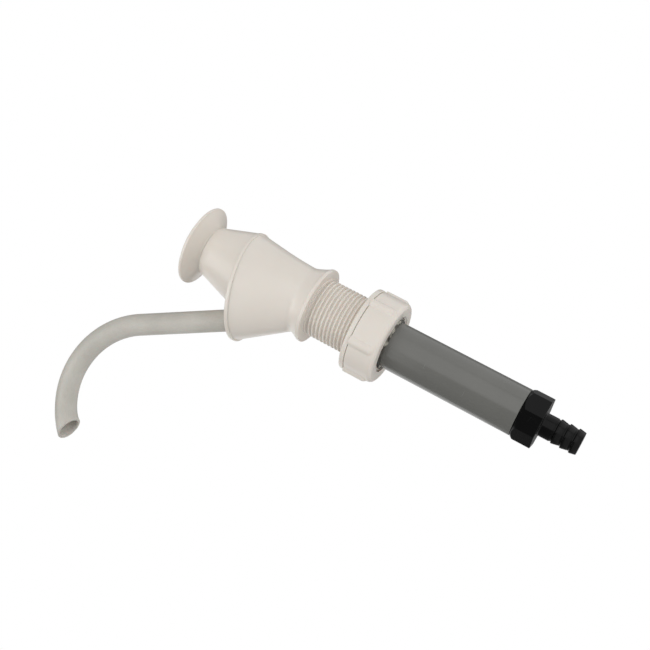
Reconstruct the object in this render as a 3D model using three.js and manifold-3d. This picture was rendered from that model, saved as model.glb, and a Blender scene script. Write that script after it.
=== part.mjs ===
// Hand plunger pump for a deck or bench: a lift pump whose knob, rod and piston draw water up a
// cylinder under the deck and push it out of a gooseneck spout above it.
// Millimetres, +Z up the plunger's axis, origin at the centre of the flange's underside (the deck's
// face), +X towards the spout.

import * as THREE from 'three';
import { mergeVertices } from 'three/addons/utils/BufferGeometryUtils.js';
import Module from 'manifold-3d';

const wasm = await Module();
wasm.setup();

// ---------------------------------------------------------------- driving dimensions

const ROUND_SIDES = 30;
const SMALL_SIDES = 18;
const THREAD_SIDES = 20;
const HOLE_SIDES = 8;
const RIB_SIDES = 14;
const SLAB_SIDES = 4;
const SPOUT_SIDES = 16;
const SPOUT_STEPS = 20;
const CURVE_STEPS = 4;
const MERGE_DISTANCE = 1e-4;
const FIT_GAP = 0.3;
const OVERCUT = 1;

// Cylinder: 3/4 inch PVC pipe
const CYLINDER_RADIUS = 13.35;
const CYLINDER_WALL = 2.87;
const CYLINDER_SOCKET = 37;
const CEMENT_BEAD = 1.2;
const CEMENT_SHOULDER = 0.84;

// Threaded stem round the cylinder: a 1 inch pipe thread, right-handed
const STEM_WALL = 1.67;
const THREAD_PITCH = 2.309;
const THREAD_DEPTH = 1.3;
const THREAD_CLEARANCE = 0.35;
const THREAD_CREST = 0.28;
const STEM_LENGTH = 45;
const STEM_CHAMFER = 1;
const COLLAR_HEIGHT = 0.7;
const COLLAR_PROUD = 0.08;

// Deck flange and the flared neck above it
const FLANGE_WIDTH = 5.18;
const FLANGE_THICKNESS = 2.1;
const FLANGE_EDGE = 0.5;
const NECK_RADIUS = 17.7;
const NECK_HEIGHT = 12;
const NECK_FLARE = 3.7;
const NECK_BOW = 0.5;
const NECK_TUCK = 0.2;

// Head: a leaning funnel between two tilted circles, the rim at the top and the foot in the neck
const RIM_RADIUS = 31;
const RIM_X = 8.9;
const RIM_Z = 42.2;
const RIM_TILT = 12.1;
const FOOT_RADIUS = 18.35;
const FOOT_X = 1.35;
const FOOT_Z = 10.1;
const FOOT_TILT = 5.9;
const HEAD_WALL = 3;
const CHAMBER_FLOOR = 5;

// Cover with the conical gland housing
const COVER_THICKNESS = 2;
const COVER_SEAM = 0.3;
const COVER_LIP_DEPTH = 3;
const COVER_LIP_WALL = 1.6;
const GLAND_TOP_Z = 70.4;
const GLAND_TOP_RADIUS = 14.2;
const GLAND_BASE_RADIUS = 21.2;
const GLAND_BASE_Z = 48.7;
const GLAND_WALL = 2.6;
const GLAND_BORE_RADIUS = 9.2;
const GLAND_LEDGE = 3;

// Gland stack
const BUSH_HEIGHT = 6;
const SEAL_HEIGHT = 3;
const SEAL_LIP = 0.6;
const GLAND_WASHER_HEIGHT = 1.6;

// Spout: a bent tube in a slanting socket
const SPOUT_RADIUS = 6.25;
const SPOUT_WALL = 1.35;
const SPOUT_ROOT_X = 27.8;
const SPOUT_LEAN = 29.7;
const SPOUT_STRAIGHT = 58.3;
const SPOUT_BEND_RADIUS = 45.4;
const SPOUT_BEND_ANGLE = 110;
const SPOUT_CUT_ANGLE = 25;
const SPOUT_INSERT = 5;
const SOCKET_WALL = 2.4;
const SOCKET_HEIGHT = 4;
const SPOUT_SEAL_HEIGHT = 1.6;
const SPOUT_SEAL_WIDTH = 1.1;

// Inlet fitting: octagonal cap, spigot and hose tail
const CAP_OVERHANG = 1.3;
const CAP_LENGTH = 12.2;
const CAP_CHAMFER = 2.1;
const CAP_TURN = 9.5;
const SPIGOT_LENGTH = 10;
const SPIGOT_WALL = 1.58;
const SPIGOT_BORE_DEPTH = 6.1;
const TAIL_LENGTH = 21.7;
const TAIL_ROOT_RADIUS = 6.2;
const TAIL_LAND = 6.6;
const TAIL_LAND_PROUD = 0.35;
const BARB_COUNT = 3;
const BARB_HEIGHT = 0.75;
const BARB_CREST_SHARE = 0.25;
const BARB_BACK_SHARE = 0.6;
const TAIL_BORE_RADIUS = 4.2;
const O_RING_HEIGHT = 1.8;
const O_RING_DEPTH = 1.2;

// Plunger
const STROKE = 79;
const STROKE_RESERVE = 2.6;
const ROD_RADIUS = 3.5;
const ROD_RUNNING_GAP = 0.3;
const ROD_STUD_RADIUS = 2.5;
const KNOB_RADIUS = 23.1;
const KNOB_FOOT_RADIUS = 13;
const KNOB_REST_GAP = 0.4;
const KNOB_ROUNDING = 0.5;
const KNOB_FLARE_HEIGHT = 5.7;
const KNOB_FLARE_BOW = 3.2;
const KNOB_FLARE_RISE = 3.5;
const KNOB_EDGE = 1.5;
const KNOB_DOME = 6.2;
const KNOB_SOCKET_DEPTH = 9;

// Piston
const PISTON_HEIGHT = 8;
const PISTON_RUNNING_GAP = 0.3;
const PISTON_GROOVE_DEPTH = 1.6;
const PISTON_GROOVE_HEIGHT = 3;
const PORT_COUNT = 6;
const PORT_WALL = 0.98;
const PORT_MARGIN = 0.2;
const WASHER_WIDTH = 1.8;
const WASHER_HEIGHT = 1.2;
const LOCK_NUT_HEIGHT = 3.2;
const LOCK_NUT_FLATS = 8;
const VALVE_HEIGHT = 1.2;
const VALVE_OVERLAP = 0.8;
const VALVE_REST_GAP = 0.2;
const PISTON_VALVE_LIFT = 2.5;
const CLIP_HEIGHT = 1.2;
const CLIP_WIDTH = 2.4;

// Foot valve
const SEAT_HEIGHT = 2.2;
const FOOT_VALVE_LIFT = 3.5;
const FOOT_VALVE_CLEARANCE = 1.48;
const GUIDE_RADIUS = 1.6;
const GUIDE_LENGTH = 6;
const CAGE_WALL = 1.5;
const CAGE_TOP = 1.5;
const CAGE_WINDOWS = 4;
const CAGE_WINDOW_RADIUS = 2.4;
const PISTON_CLEARANCE = 1.2;

// Ring nut and its washer
const NUT_TOP_Z = -29.6;
const NUT_HEIGHT = 16.4;
const NUT_WALL = 6.63;
const NUT_SHOULDER = 3.3;
const NUT_SHOULDER_WIDTH = 2;
const NUT_SHOULDER_BOW = 0.7;
const NUT_RIBS = 6;
const RIB_RADIUS = 3;
const RIB_PROUD = 1.5;
const RIB_ANGLE = 69;
const RIB_FOOT_RISE = 1.9;
const RIB_TIP_RADIUS = 1.4;
const RIB_TIP_HEIGHT = 2.6;
const NUT_WASHER_PROUD = 0.3;
const NUT_WASHER_HEIGHT = 2.4;

// ---------------------------------------------------------------- solids

/** Closed solid from a three.js geometry: position only, merged, with empty triangles dropped. */
function solidFrom(geometry) {
  const bare = geometry.clone();
  bare.deleteAttribute('normal');
  bare.deleteAttribute('uv');
  const merged = mergeVertices(bare, MERGE_DISTANCE);
  const index = merged.index.array;
  const kept = [];
  for (let i = 0; i < index.length; i += 3) {
    const [a, b, c] = [index[i], index[i + 1], index[i + 2]];
    if (a !== b && b !== c && c !== a) kept.push(a, b, c);
  }
  const vertProperties = new Float32Array(merged.attributes.position.array);
  return new wasm.Manifold(new wasm.Mesh({ numProp: 3, vertProperties, triVerts: new Uint32Array(kept) }));
}

/** The geometry of a solid. */
function geometryFrom(solid) {
  const mesh = solid.getMesh();
  const geometry = new THREE.BufferGeometry();
  geometry.setAttribute('position', new THREE.BufferAttribute(new Float32Array(mesh.vertProperties), 3));
  geometry.setIndex(new THREE.BufferAttribute(new Uint32Array(mesh.triVerts), 1));
  geometry.computeVertexNormals();
  return geometry;
}

/** Solid of revolution about Z. The outline's [radius, z] points run round the section. */
function revolve(outline, sides = ROUND_SIDES) {
  const closed = [...outline, outline[0]];
  let area = 0;
  for (let i = 0; i < outline.length; i += 1) {
    area += closed[i][0] * closed[i + 1][1] - closed[i + 1][0] * closed[i][1];
  }
  const ordered = area > 0 ? closed : closed.reverse();
  const points = ordered.map(([radius, z]) => new THREE.Vector2(radius, z));
  return solidFrom(new THREE.LatheGeometry(points, sides).rotateX(Math.PI / 2));
}

/** Plain disc, rod or ring about Z between two heights. */
function ring(outer, inner, bottom, top, sides = ROUND_SIDES) {
  return revolve([[inner, bottom], [outer, bottom], [outer, top], [inner, top]], sides);
}

/** Solid moved by a matrix. */
function placed(solid, matrix) {
  return solidFrom(geometryFrom(solid).applyMatrix4(matrix));
}

/** Matrix of a turn about Y, in degrees, and a move. */
function leaning(x, z, degrees) {
  const matrix = new THREE.Matrix4().makeRotationY(THREE.MathUtils.degToRad(degrees));
  return matrix.setPosition(x, 0, z);
}

/** Points of a curve from one [radius, z] to another, bulging towards a control point. */
function curve(from, control, to) {
  const bow = new THREE.QuadraticBezierCurve(
    new THREE.Vector2(...from), new THREE.Vector2(...control), new THREE.Vector2(...to));
  return bow.getPoints(CURVE_STEPS).map((point) => [point.x, point.y]);
}

/** Round holes on a circle about Z, as one solid for each. */
function holeCircle(count, circle, radius, bottom, top, sides = HOLE_SIDES) {
  const holes = [];
  for (let i = 0; i < count; i += 1) {
    const angle = (2 * Math.PI * i) / count;
    const hole = new THREE.CylinderGeometry(radius, radius, top - bottom, sides).rotateX(Math.PI / 2);
    hole.translate(circle * Math.cos(angle), circle * Math.sin(angle), (top + bottom) / 2);
    holes.push(solidFrom(hole));
  }
  return holes;
}

/** Prism with flat sides about Z, its first corner turned from +X by an angle in degrees. */
function prism(corners, radius, bottom, top, turn = 0) {
  const body = new THREE.CylinderGeometry(radius, radius, top - bottom, corners).rotateX(Math.PI / 2);
  body.rotateZ(THREE.MathUtils.degToRad(turn) + Math.PI / 2);
  return solidFrom(body.translate(0, 0, (top + bottom) / 2));
}

/** Right-hand threaded column about Z from bottom to top, in phase with every other one here. */
function threadedColumn(crest, depth, bottom, top) {
  const section = [
    [crest - depth, 0],
    [crest, (THREAD_PITCH * (1 - THREAD_CREST)) / 2],
    [crest, (THREAD_PITCH * (1 + THREAD_CREST)) / 2],
  ];
  const firstTurn = Math.floor(bottom / THREAD_PITCH) - 2;
  const turns = Math.ceil(top / THREAD_PITCH) + 1 - firstTurn;
  const rows = turns * THREAD_SIDES;
  const corners = [];
  for (let row = 0; row <= rows; row += 1) {
    const angle = (2 * Math.PI * row) / THREAD_SIDES;
    const rise = THREAD_PITCH * (firstTurn + row / THREAD_SIDES);
    for (const [radius, z] of section) {
      corners.push(radius * Math.cos(angle), radius * Math.sin(angle), z + rise);
    }
  }
  const count = section.length;
  const at = (row, k) => (k < count ? row * count + k : (row + THREAD_SIDES) * count);
  const faces = [];
  const lastRow = rows - THREAD_SIDES;
  for (let row = 0; row < lastRow; row += 1) {
    for (let k = 0; k < count; k += 1) {
      faces.push(at(row, k), at(row + 1, k), at(row + 1, k + 1));
      faces.push(at(row, k), at(row + 1, k + 1), at(row, k + 1));
    }
  }
  const lowPole = corners.length / 3;
  corners.push(0, 0, THREAD_PITCH * firstTurn);
  corners.push(0, 0, THREAD_PITCH * (firstTurn + turns + 1));
  const highPole = lowPole + 1;
  for (let row = 0; row < THREAD_SIDES; row += 1) {
    faces.push(lowPole, at(row + 1, 0), at(row, 0));
    faces.push(highPole, at(lastRow + row, 0), at(lastRow + row + 1, 0));
  }
  for (let k = 0; k < count; k += 1) {
    faces.push(lowPole, at(0, k), at(0, k + 1));
    faces.push(highPole, at(lastRow, k + 1), at(lastRow, k));
  }
  const geometry = new THREE.BufferGeometry();
  geometry.setAttribute('position', new THREE.Float32BufferAttribute(corners, 3));
  geometry.setIndex(faces);
  return solidFrom(geometry).intersect(ring(crest + OVERCUT, 0, bottom, top, THREAD_SIDES));
}

// ---------------------------------------------------------------- heights and radii that follow

const THREAD_RADIUS = CYLINDER_RADIUS + FIT_GAP + STEM_WALL + THREAD_DEPTH;
const FLANGE_RADIUS = THREAD_RADIUS + FLANGE_WIDTH;
const NUT_BORE_RADIUS = THREAD_RADIUS + THREAD_CLEARANCE;
const NUT_RADIUS = NUT_BORE_RADIUS + NUT_WALL;

const BORE_RADIUS = CYLINDER_RADIUS - CYLINDER_WALL;
const PISTON_RADIUS = BORE_RADIUS - PISTON_RUNNING_GAP;
const PISTON_BORE_RADIUS = ROD_STUD_RADIUS + FIT_GAP;
const PISTON_WASHER_RADIUS = PISTON_BORE_RADIUS + WASHER_WIDTH;
const PORT_OUTSIDE = PISTON_RADIUS - PISTON_GROOVE_DEPTH - PORT_WALL;
const PORT_RADIUS = (PORT_OUTSIDE - PISTON_WASHER_RADIUS - PORT_MARGIN) / 2;
const PORT_CIRCLE = PORT_OUTSIDE - PORT_RADIUS;
const VALVE_RADIUS = PORT_OUTSIDE + VALVE_OVERLAP;
const THROAT_RADIUS = VALVE_RADIUS + 2 * FIT_GAP;

const SPIGOT_RADIUS = BORE_RADIUS - FIT_GAP;
const SPIGOT_BORE_RADIUS = SPIGOT_RADIUS - O_RING_DEPTH - SPIGOT_WALL;
const CAGE_BORE_RADIUS = SPIGOT_RADIUS - CAGE_WALL;
const FOOT_VALVE_RADIUS = CAGE_BORE_RADIUS - FOOT_VALVE_CLEARANCE;
const FOOT_PORT_CIRCLE = FOOT_VALVE_RADIUS - VALVE_OVERLAP - PORT_RADIUS;

const FOOT_VALVE_STACK = SPIGOT_LENGTH + SEAT_HEIGHT + VALVE_REST_GAP + VALVE_HEIGHT + FOOT_VALVE_LIFT
  + CAGE_TOP + 2 * FIT_GAP;
const PISTON_STACK = LOCK_NUT_HEIGHT + WASHER_HEIGHT + PISTON_HEIGHT + 2 * FIT_GAP;
const CYLINDER_LENGTH = FOOT_VALVE_STACK + PISTON_CLEARANCE + PISTON_STACK + STROKE + STROKE_RESERVE;
const SOCKET_END_Z = CYLINDER_SOCKET - STEM_LENGTH;
const CYLINDER_TOP_Z = SOCKET_END_Z - FIT_GAP;
const CYLINDER_FOOT_Z = CYLINDER_TOP_Z - CYLINDER_LENGTH;

const CAP_TOP_Z = CYLINDER_FOOT_Z - FIT_GAP;
const CAP_FOOT_Z = CAP_TOP_Z - CAP_LENGTH;
const TAIL_END_Z = CAP_FOOT_Z - TAIL_LENGTH;
const SPIGOT_TOP_Z = CYLINDER_FOOT_Z + SPIGOT_LENGTH;

const SEAT_Z = SPIGOT_TOP_Z + FIT_GAP;
const SEAT_TOP_Z = SEAT_Z + SEAT_HEIGHT;
const FOOT_VALVE_Z = SEAT_TOP_Z + VALVE_REST_GAP;
const CAGE_ROOF_Z = FOOT_VALVE_Z + VALVE_HEIGHT + FOOT_VALVE_LIFT + FIT_GAP;
const CAGE_TOP_Z = CAGE_ROOF_Z + CAGE_TOP;

const LOCK_NUT_Z = CAGE_TOP_Z + PISTON_CLEARANCE;
const PISTON_WASHER_Z = LOCK_NUT_Z + LOCK_NUT_HEIGHT + FIT_GAP;
const PISTON_Z = PISTON_WASHER_Z + WASHER_HEIGHT + FIT_GAP;
const PISTON_TOP_Z = PISTON_Z + PISTON_HEIGHT;
const PISTON_VALVE_Z = PISTON_TOP_Z + VALVE_REST_GAP;
const CLIP_Z = PISTON_VALVE_Z + VALVE_HEIGHT + PISTON_VALVE_LIFT + FIT_GAP;
const KNOB_FOOT_Z = GLAND_TOP_Z + KNOB_REST_GAP;
const KNOB_RIM_Z = KNOB_FOOT_Z + KNOB_FLARE_HEIGHT;
const KNOB_TOP_Z = KNOB_RIM_Z + KNOB_EDGE + KNOB_DOME;
const ROD_TOP_Z = KNOB_FOOT_Z + KNOB_SOCKET_DEPTH;

const SPOUT_ROOT_Z = RIM_Z - (SPOUT_ROOT_X - RIM_X) * Math.tan(THREE.MathUtils.degToRad(RIM_TILT));
const SPOUT_SOCKET_RADIUS = SPOUT_RADIUS + FIT_GAP;

// ---------------------------------------------------------------- head

/** Leaning funnel between the foot circle and the rim circle, drawn in by a wall thickness. */
function funnel(drawnIn) {
  const rim = leaning(RIM_X, RIM_Z, RIM_TILT);
  const foot = leaning(FOOT_X, FOOT_Z, FOOT_TILT);
  const geometry = new THREE.CylinderGeometry(1, 1, 1, ROUND_SIDES).rotateX(Math.PI / 2);
  const place = geometry.attributes.position;
  const corner = new THREE.Vector3();
  for (let i = 0; i < place.count; i += 1) {
    corner.fromBufferAttribute(place, i);
    const atRim = corner.z > 0;
    const radius = (atRim ? RIM_RADIUS : FOOT_RADIUS) - drawnIn;
    corner.set(corner.x * radius, corner.y * radius, 0).applyMatrix4(atRim ? rim : foot);
    place.setXYZ(i, corner.x, corner.y, corner.z);
  }
  return solidFrom(geometry);
}

/** Everything within reach of the head on one side of a plane at a depth below the rim's plane. */
function rimSlab(lowDepth, highDepth) {
  const reach = 3 * RIM_RADIUS;
  return placed(ring(reach, 0, -lowDepth, -highDepth, SLAB_SIDES), leaning(RIM_X, RIM_Z, RIM_TILT));
}

/** Funnel head, flared neck, flange and threaded stem in one moulding, hollow from end to end. */
function pumpBody() {
  const flareRadius = NECK_RADIUS + NECK_FLARE;
  const neck = revolve([
    [0, 0],
    [FLANGE_RADIUS - FLANGE_EDGE, 0],
    [FLANGE_RADIUS, FLANGE_EDGE],
    [FLANGE_RADIUS, FLANGE_THICKNESS - FLANGE_EDGE],
    ...curve(
      [flareRadius, FLANGE_THICKNESS],
      [NECK_RADIUS + NECK_BOW, NECK_HEIGHT - FLANGE_THICKNESS],
      [NECK_RADIUS - NECK_TUCK, NECK_HEIGHT]),
    [0, NECK_HEIGHT],
  ]);
  const seamDepth = COVER_THICKNESS + COVER_SEAM;
  const head = funnel(0).subtract(rimSlab(seamDepth, -OVERCUT));
  const stemEnd = revolve([
    [0, -STEM_LENGTH],
    [THREAD_RADIUS - STEM_CHAMFER, -STEM_LENGTH],
    [THREAD_RADIUS + OVERCUT, STEM_CHAMFER + OVERCUT - STEM_LENGTH],
    [THREAD_RADIUS + OVERCUT, OVERCUT],
    [0, OVERCUT],
  ]);
  const stem = threadedColumn(THREAD_RADIUS, THREAD_DEPTH, -STEM_LENGTH, OVERCUT).intersect(stemEnd);
  const collar = ring(THREAD_RADIUS + COLLAR_PROUD, 0, -COLLAR_HEIGHT, OVERCUT, THREAD_SIDES);
  const chamber = funnel(HEAD_WALL).subtract(ring(2 * RIM_RADIUS, 0, -RIM_RADIUS, CHAMBER_FLOOR));
  const bores = [
    ring(THROAT_RADIUS, 0, SOCKET_END_Z - OVERCUT, RIM_Z - COVER_THICKNESS),
    ring(CYLINDER_RADIUS + FIT_GAP, 0, -STEM_LENGTH - OVERCUT, SOCKET_END_Z),
  ];
  const blank = neck.add(head).add(stem).add(collar);
  return [chamber, ...bores].reduce((body, cut) => body.subtract(cut), blank);
}

/** Radius of the gland cone at a height, drawn in by a wall. */
function glandRadius(z, drawnIn = 0) {
  const slope = (GLAND_BASE_RADIUS - GLAND_TOP_RADIUS) / (GLAND_TOP_Z - GLAND_BASE_Z);
  return GLAND_TOP_RADIUS + slope * (GLAND_TOP_Z - z) - drawnIn;
}

/** Solid cone about the plunger's axis, inside the gland housing by a wall, up to a height. */
function glandCone(drawnIn, top) {
  const bottom = RIM_Z - RIM_RADIUS;
  const foot = [glandRadius(bottom, drawnIn), bottom];
  return revolve([[0, bottom], foot, [glandRadius(top, drawnIn), top], [0, top]]);
}

/** Rod or hole along the spout's axis, between two distances from the cover's top. */
function alongSpout(radius, from, to, sides = SMALL_SIDES) {
  return placed(ring(radius, 0, from, to, sides), leaning(SPOUT_ROOT_X, SPOUT_ROOT_Z, SPOUT_LEAN));
}

/** Round cover with the gland cone, the spout's socket and a lip that centres it in the head. */
function headCover() {
  const boreFloor = GLAND_TOP_Z - BUSH_HEIGHT - SEAL_HEIGHT - GLAND_WASHER_HEIGHT - 3 * FIT_GAP;
  const plate = placed(ring(RIM_RADIUS, 0, -COVER_THICKNESS, 0), leaning(RIM_X, RIM_Z, RIM_TILT));
  const inside = funnel(HEAD_WALL + FIT_GAP);
  const lipSlab = rimSlab(COVER_THICKNESS + COVER_LIP_DEPTH, COVER_THICKNESS - FIT_GAP);
  const lip = inside.intersect(lipSlab).subtract(funnel(HEAD_WALL + FIT_GAP + COVER_LIP_WALL));
  const aboveCover = rimSlab(COVER_THICKNESS, -2 * GLAND_TOP_Z);
  const housing = glandCone(0, GLAND_TOP_Z).intersect(aboveCover);
  const socketRadius = SPOUT_SOCKET_RADIUS + SOCKET_WALL;
  const boss = alongSpout(socketRadius, -COVER_THICKNESS, SOCKET_HEIGHT).intersect(aboveCover);
  const rodHole = ROD_RADIUS + 2 * ROD_RUNNING_GAP;
  const sealFloor = SOCKET_HEIGHT - SPOUT_SEAL_HEIGHT - FIT_GAP;
  const cuts = [
    glandCone(GLAND_WALL, boreFloor - GLAND_LEDGE),
    ring(GLAND_BORE_RADIUS, 0, boreFloor, GLAND_TOP_Z + OVERCUT, SMALL_SIDES),
    ring(rodHole, 0, boreFloor - GLAND_LEDGE - OVERCUT, boreFloor + OVERCUT, SMALL_SIDES),
    alongSpout(SPOUT_RADIUS - SPOUT_WALL, -2 * SPOUT_RADIUS, 0),
    alongSpout(SPOUT_SOCKET_RADIUS, FIT_GAP - SPOUT_INSERT, SOCKET_HEIGHT + OVERCUT),
    alongSpout(SPOUT_SOCKET_RADIUS + SPOUT_SEAL_WIDTH, sealFloor, SOCKET_HEIGHT + OVERCUT),
  ];
  return cuts.reduce((cover, cut) => cover.subtract(cut), plate.add(lip).add(housing).add(boss));
}

/** Plain bush that guides the rod, flush with the top of the gland. */
function glandBush() {
  const bottom = GLAND_TOP_Z - BUSH_HEIGHT;
  return ring(GLAND_BORE_RADIUS - FIT_GAP, ROD_RADIUS + ROD_RUNNING_GAP, bottom, GLAND_TOP_Z, SMALL_SIDES);
}

/** Rubber seal round the rod under the bush. */
function rodSeal() {
  const top = GLAND_TOP_Z - BUSH_HEIGHT - FIT_GAP;
  const inner = ROD_RADIUS + ROD_RUNNING_GAP;
  const outer = GLAND_BORE_RADIUS - FIT_GAP;
  const bottom = top - SEAL_HEIGHT;
  const middle = (top + bottom) / 2;
  return revolve([
    [inner + SEAL_LIP, bottom],
    [outer, bottom],
    [outer, top],
    [inner + SEAL_LIP, top],
    [inner, middle],
  ], SMALL_SIDES);
}

/** Washer under the rod's seal, on the ledge of the gland. */
function glandWasher() {
  const top = GLAND_TOP_Z - BUSH_HEIGHT - SEAL_HEIGHT - 2 * FIT_GAP;
  const bottom = top - GLAND_WASHER_HEIGHT;
  return ring(GLAND_BORE_RADIUS - FIT_GAP, ROD_RADIUS + 2 * ROD_RUNNING_GAP, bottom, top, SMALL_SIDES);
}

// ---------------------------------------------------------------- spout

/** Middle line of the spout in the XZ plane: a straight run, then a bend down past the top. */
function spoutLine() {
  const lean = THREE.MathUtils.degToRad(SPOUT_LEAN);
  const along = new THREE.Vector3(Math.sin(lean), 0, Math.cos(lean));
  const across = new THREE.Vector3(Math.cos(lean), 0, -Math.sin(lean));
  const root = new THREE.Vector3(SPOUT_ROOT_X, 0, SPOUT_ROOT_Z);
  const bendStart = root.clone().addScaledVector(along, SPOUT_STRAIGHT);
  const centre = bendStart.clone().addScaledVector(across, SPOUT_BEND_RADIUS);
  const turn = THREE.MathUtils.degToRad(SPOUT_BEND_ANGLE);
  const arc = new THREE.Curve();
  arc.getPoint = (t, target = new THREE.Vector3()) => target.copy(centre)
    .addScaledVector(across, -SPOUT_BEND_RADIUS * Math.cos(turn * t))
    .addScaledVector(along, SPOUT_BEND_RADIUS * Math.sin(turn * t));
  const line = new THREE.CurvePath();
  line.add(new THREE.LineCurve3(root.clone().addScaledVector(along, -SPOUT_INSERT + 2 * FIT_GAP), bendStart));
  line.add(arc);
  return { line, end: arc.getPoint(1), centre };
}

/** Bent tube with a slanting cut at its mouth, the outside of the bend left longest. */
function spoutTube() {
  const { line, end, centre } = spoutLine();
  const outline = new THREE.Shape().absarc(0, 0, SPOUT_RADIUS, 0, 2 * Math.PI);
  outline.holes.push(new THREE.Path().absarc(0, 0, SPOUT_RADIUS - SPOUT_WALL, 0, 2 * Math.PI, true));
  const tube = solidFrom(new THREE.ExtrudeGeometry(outline, {
    steps: SPOUT_STEPS,
    curveSegments: SPOUT_SIDES / 2,
    extrudePath: line,
  }));
  const outward = end.clone().sub(centre).normalize();
  const longest = end.clone().addScaledVector(outward, SPOUT_RADIUS);
  const cutDegrees = SPOUT_LEAN + SPOUT_BEND_ANGLE + SPOUT_CUT_ANGLE;
  const knife = new THREE.BoxGeometry(6 * SPOUT_RADIUS, 6 * SPOUT_RADIUS, 4 * SPOUT_RADIUS);
  knife.translate(0, 0, 2 * SPOUT_RADIUS);
  return tube.subtract(solidFrom(knife.applyMatrix4(leaning(longest.x, longest.z, cutDegrees))));
}

/** Ring that seals the spout in the mouth of its socket. */
function spoutSealRing() {
  const body = ring(
    SPOUT_SOCKET_RADIUS + SPOUT_SEAL_WIDTH - FIT_GAP,
    SPOUT_RADIUS + FIT_GAP,
    SOCKET_HEIGHT - SPOUT_SEAL_HEIGHT,
    SOCKET_HEIGHT,
    SMALL_SIDES);
  return placed(body, leaning(SPOUT_ROOT_X, SPOUT_ROOT_Z, SPOUT_LEAN));
}

// ---------------------------------------------------------------- cylinder and inlet

/** Pump cylinder, a plain length of pipe. */
function pumpCylinder() {
  return ring(CYLINDER_RADIUS, BORE_RADIUS, CYLINDER_FOOT_Z, CYLINDER_TOP_Z);
}

/** Bead of cement round the cylinder at the stem's mouth. */
function cementBead() {
  const inner = CYLINDER_RADIUS + FIT_GAP;
  const top = -STEM_LENGTH - FIT_GAP;
  return revolve([
    [inner, top - CEMENT_BEAD],
    [inner, top],
    [inner + CEMENT_BEAD, top],
    [inner + CEMENT_SHOULDER, top - CEMENT_SHOULDER],
  ]);
}

/** Outline of the hose tail's barbs from the cap down, each with its sharp edge towards the cap. */
function barbOutline() {
  const pitch = (TAIL_LENGTH - TAIL_LAND) / BARB_COUNT;
  const land = TAIL_ROOT_RADIUS + TAIL_LAND_PROUD;
  const points = [[land, CAP_FOOT_Z + OVERCUT], [land, CAP_FOOT_Z - TAIL_LAND]];
  for (let i = 0; i < BARB_COUNT; i += 1) {
    const edge = CAP_FOOT_Z - TAIL_LAND - i * pitch;
    points.push([TAIL_ROOT_RADIUS, edge]);
    points.push([TAIL_ROOT_RADIUS + BARB_HEIGHT, edge - BARB_CREST_SHARE * pitch]);
    points.push([TAIL_ROOT_RADIUS + BARB_HEIGHT / 2, edge - BARB_BACK_SHARE * pitch]);
    points.push([TAIL_ROOT_RADIUS, edge - pitch]);
  }
  return points;
}

/** Octagonal cap with a spigot that plugs the cylinder and a barbed tail for the hose. */
function inletFitting() {
  const corner = CYLINDER_RADIUS + CAP_OVERHANG;
  const chamfer = revolve([
    [0, CAP_FOOT_Z],
    [corner + OVERCUT, CAP_FOOT_Z],
    [corner + OVERCUT, CAP_TOP_Z - CAP_CHAMFER - OVERCUT],
    [CYLINDER_RADIUS, CAP_TOP_Z],
    [0, CAP_TOP_Z],
  ]);
  const cap = prism(8, corner, CAP_FOOT_Z, CAP_TOP_Z, CAP_TURN).intersect(chamfer);
  const spigot = ring(SPIGOT_RADIUS, 0, CAP_TOP_Z - OVERCUT, SPIGOT_TOP_Z);
  const tail = revolve([...barbOutline(), [0, TAIL_END_Z], [0, CAP_FOOT_Z + OVERCUT]], SMALL_SIDES);
  const grooveZ = inletGrooveZ();
  const grooveTop = grooveZ + O_RING_HEIGHT + 2 * FIT_GAP;
  const cuts = [
    ring(TAIL_BORE_RADIUS, 0, TAIL_END_Z - OVERCUT, SPIGOT_TOP_Z, SMALL_SIDES),
    ring(SPIGOT_BORE_RADIUS, 0, CAP_TOP_Z - SPIGOT_BORE_DEPTH, SPIGOT_TOP_Z + OVERCUT, SMALL_SIDES),
    ring(SPIGOT_RADIUS + OVERCUT, SPIGOT_RADIUS - O_RING_DEPTH, grooveZ, grooveTop),
  ];
  return cuts.reduce((fitting, cut) => fitting.subtract(cut), cap.add(spigot).add(tail));
}

/** Lower side of the O-ring groove on the spigot. */
function inletGrooveZ() {
  return (CYLINDER_FOOT_Z + SPIGOT_TOP_Z - O_RING_HEIGHT) / 2 - FIT_GAP;
}

/** O-ring round the inlet fitting's spigot. */
function inletORing() {
  const bottom = inletGrooveZ() + FIT_GAP;
  return softRing(SPIGOT_RADIUS + FIT_GAP / 2, SPIGOT_RADIUS - O_RING_DEPTH + FIT_GAP, bottom, O_RING_HEIGHT);
}

/** Rubber ring of a rounded section that stands from a bottom height. */
function softRing(outer, inner, bottom, height) {
  const corner = Math.min(outer - inner, height) / 3;
  return revolve([
    [inner, bottom + corner],
    [inner + corner, bottom],
    [outer - corner, bottom],
    [outer, bottom + corner],
    [outer, bottom + height - corner],
    [outer - corner, bottom + height],
    [inner + corner, bottom + height],
    [inner, bottom + height - corner],
  ], SMALL_SIDES);
}

// ---------------------------------------------------------------- foot valve

/** Seat disc with a ring of ports and a hole that guides the valve's stem. */
function footValveSeat() {
  const disc = ring(SPIGOT_RADIUS, GUIDE_RADIUS + FIT_GAP, SEAT_Z, SEAT_TOP_Z);
  const ports = holeCircle(PORT_COUNT, FOOT_PORT_CIRCLE, PORT_RADIUS, SEAT_Z - OVERCUT, SEAT_TOP_Z + OVERCUT);
  return ports.reduce((seat, port) => seat.subtract(port), disc);
}

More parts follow.
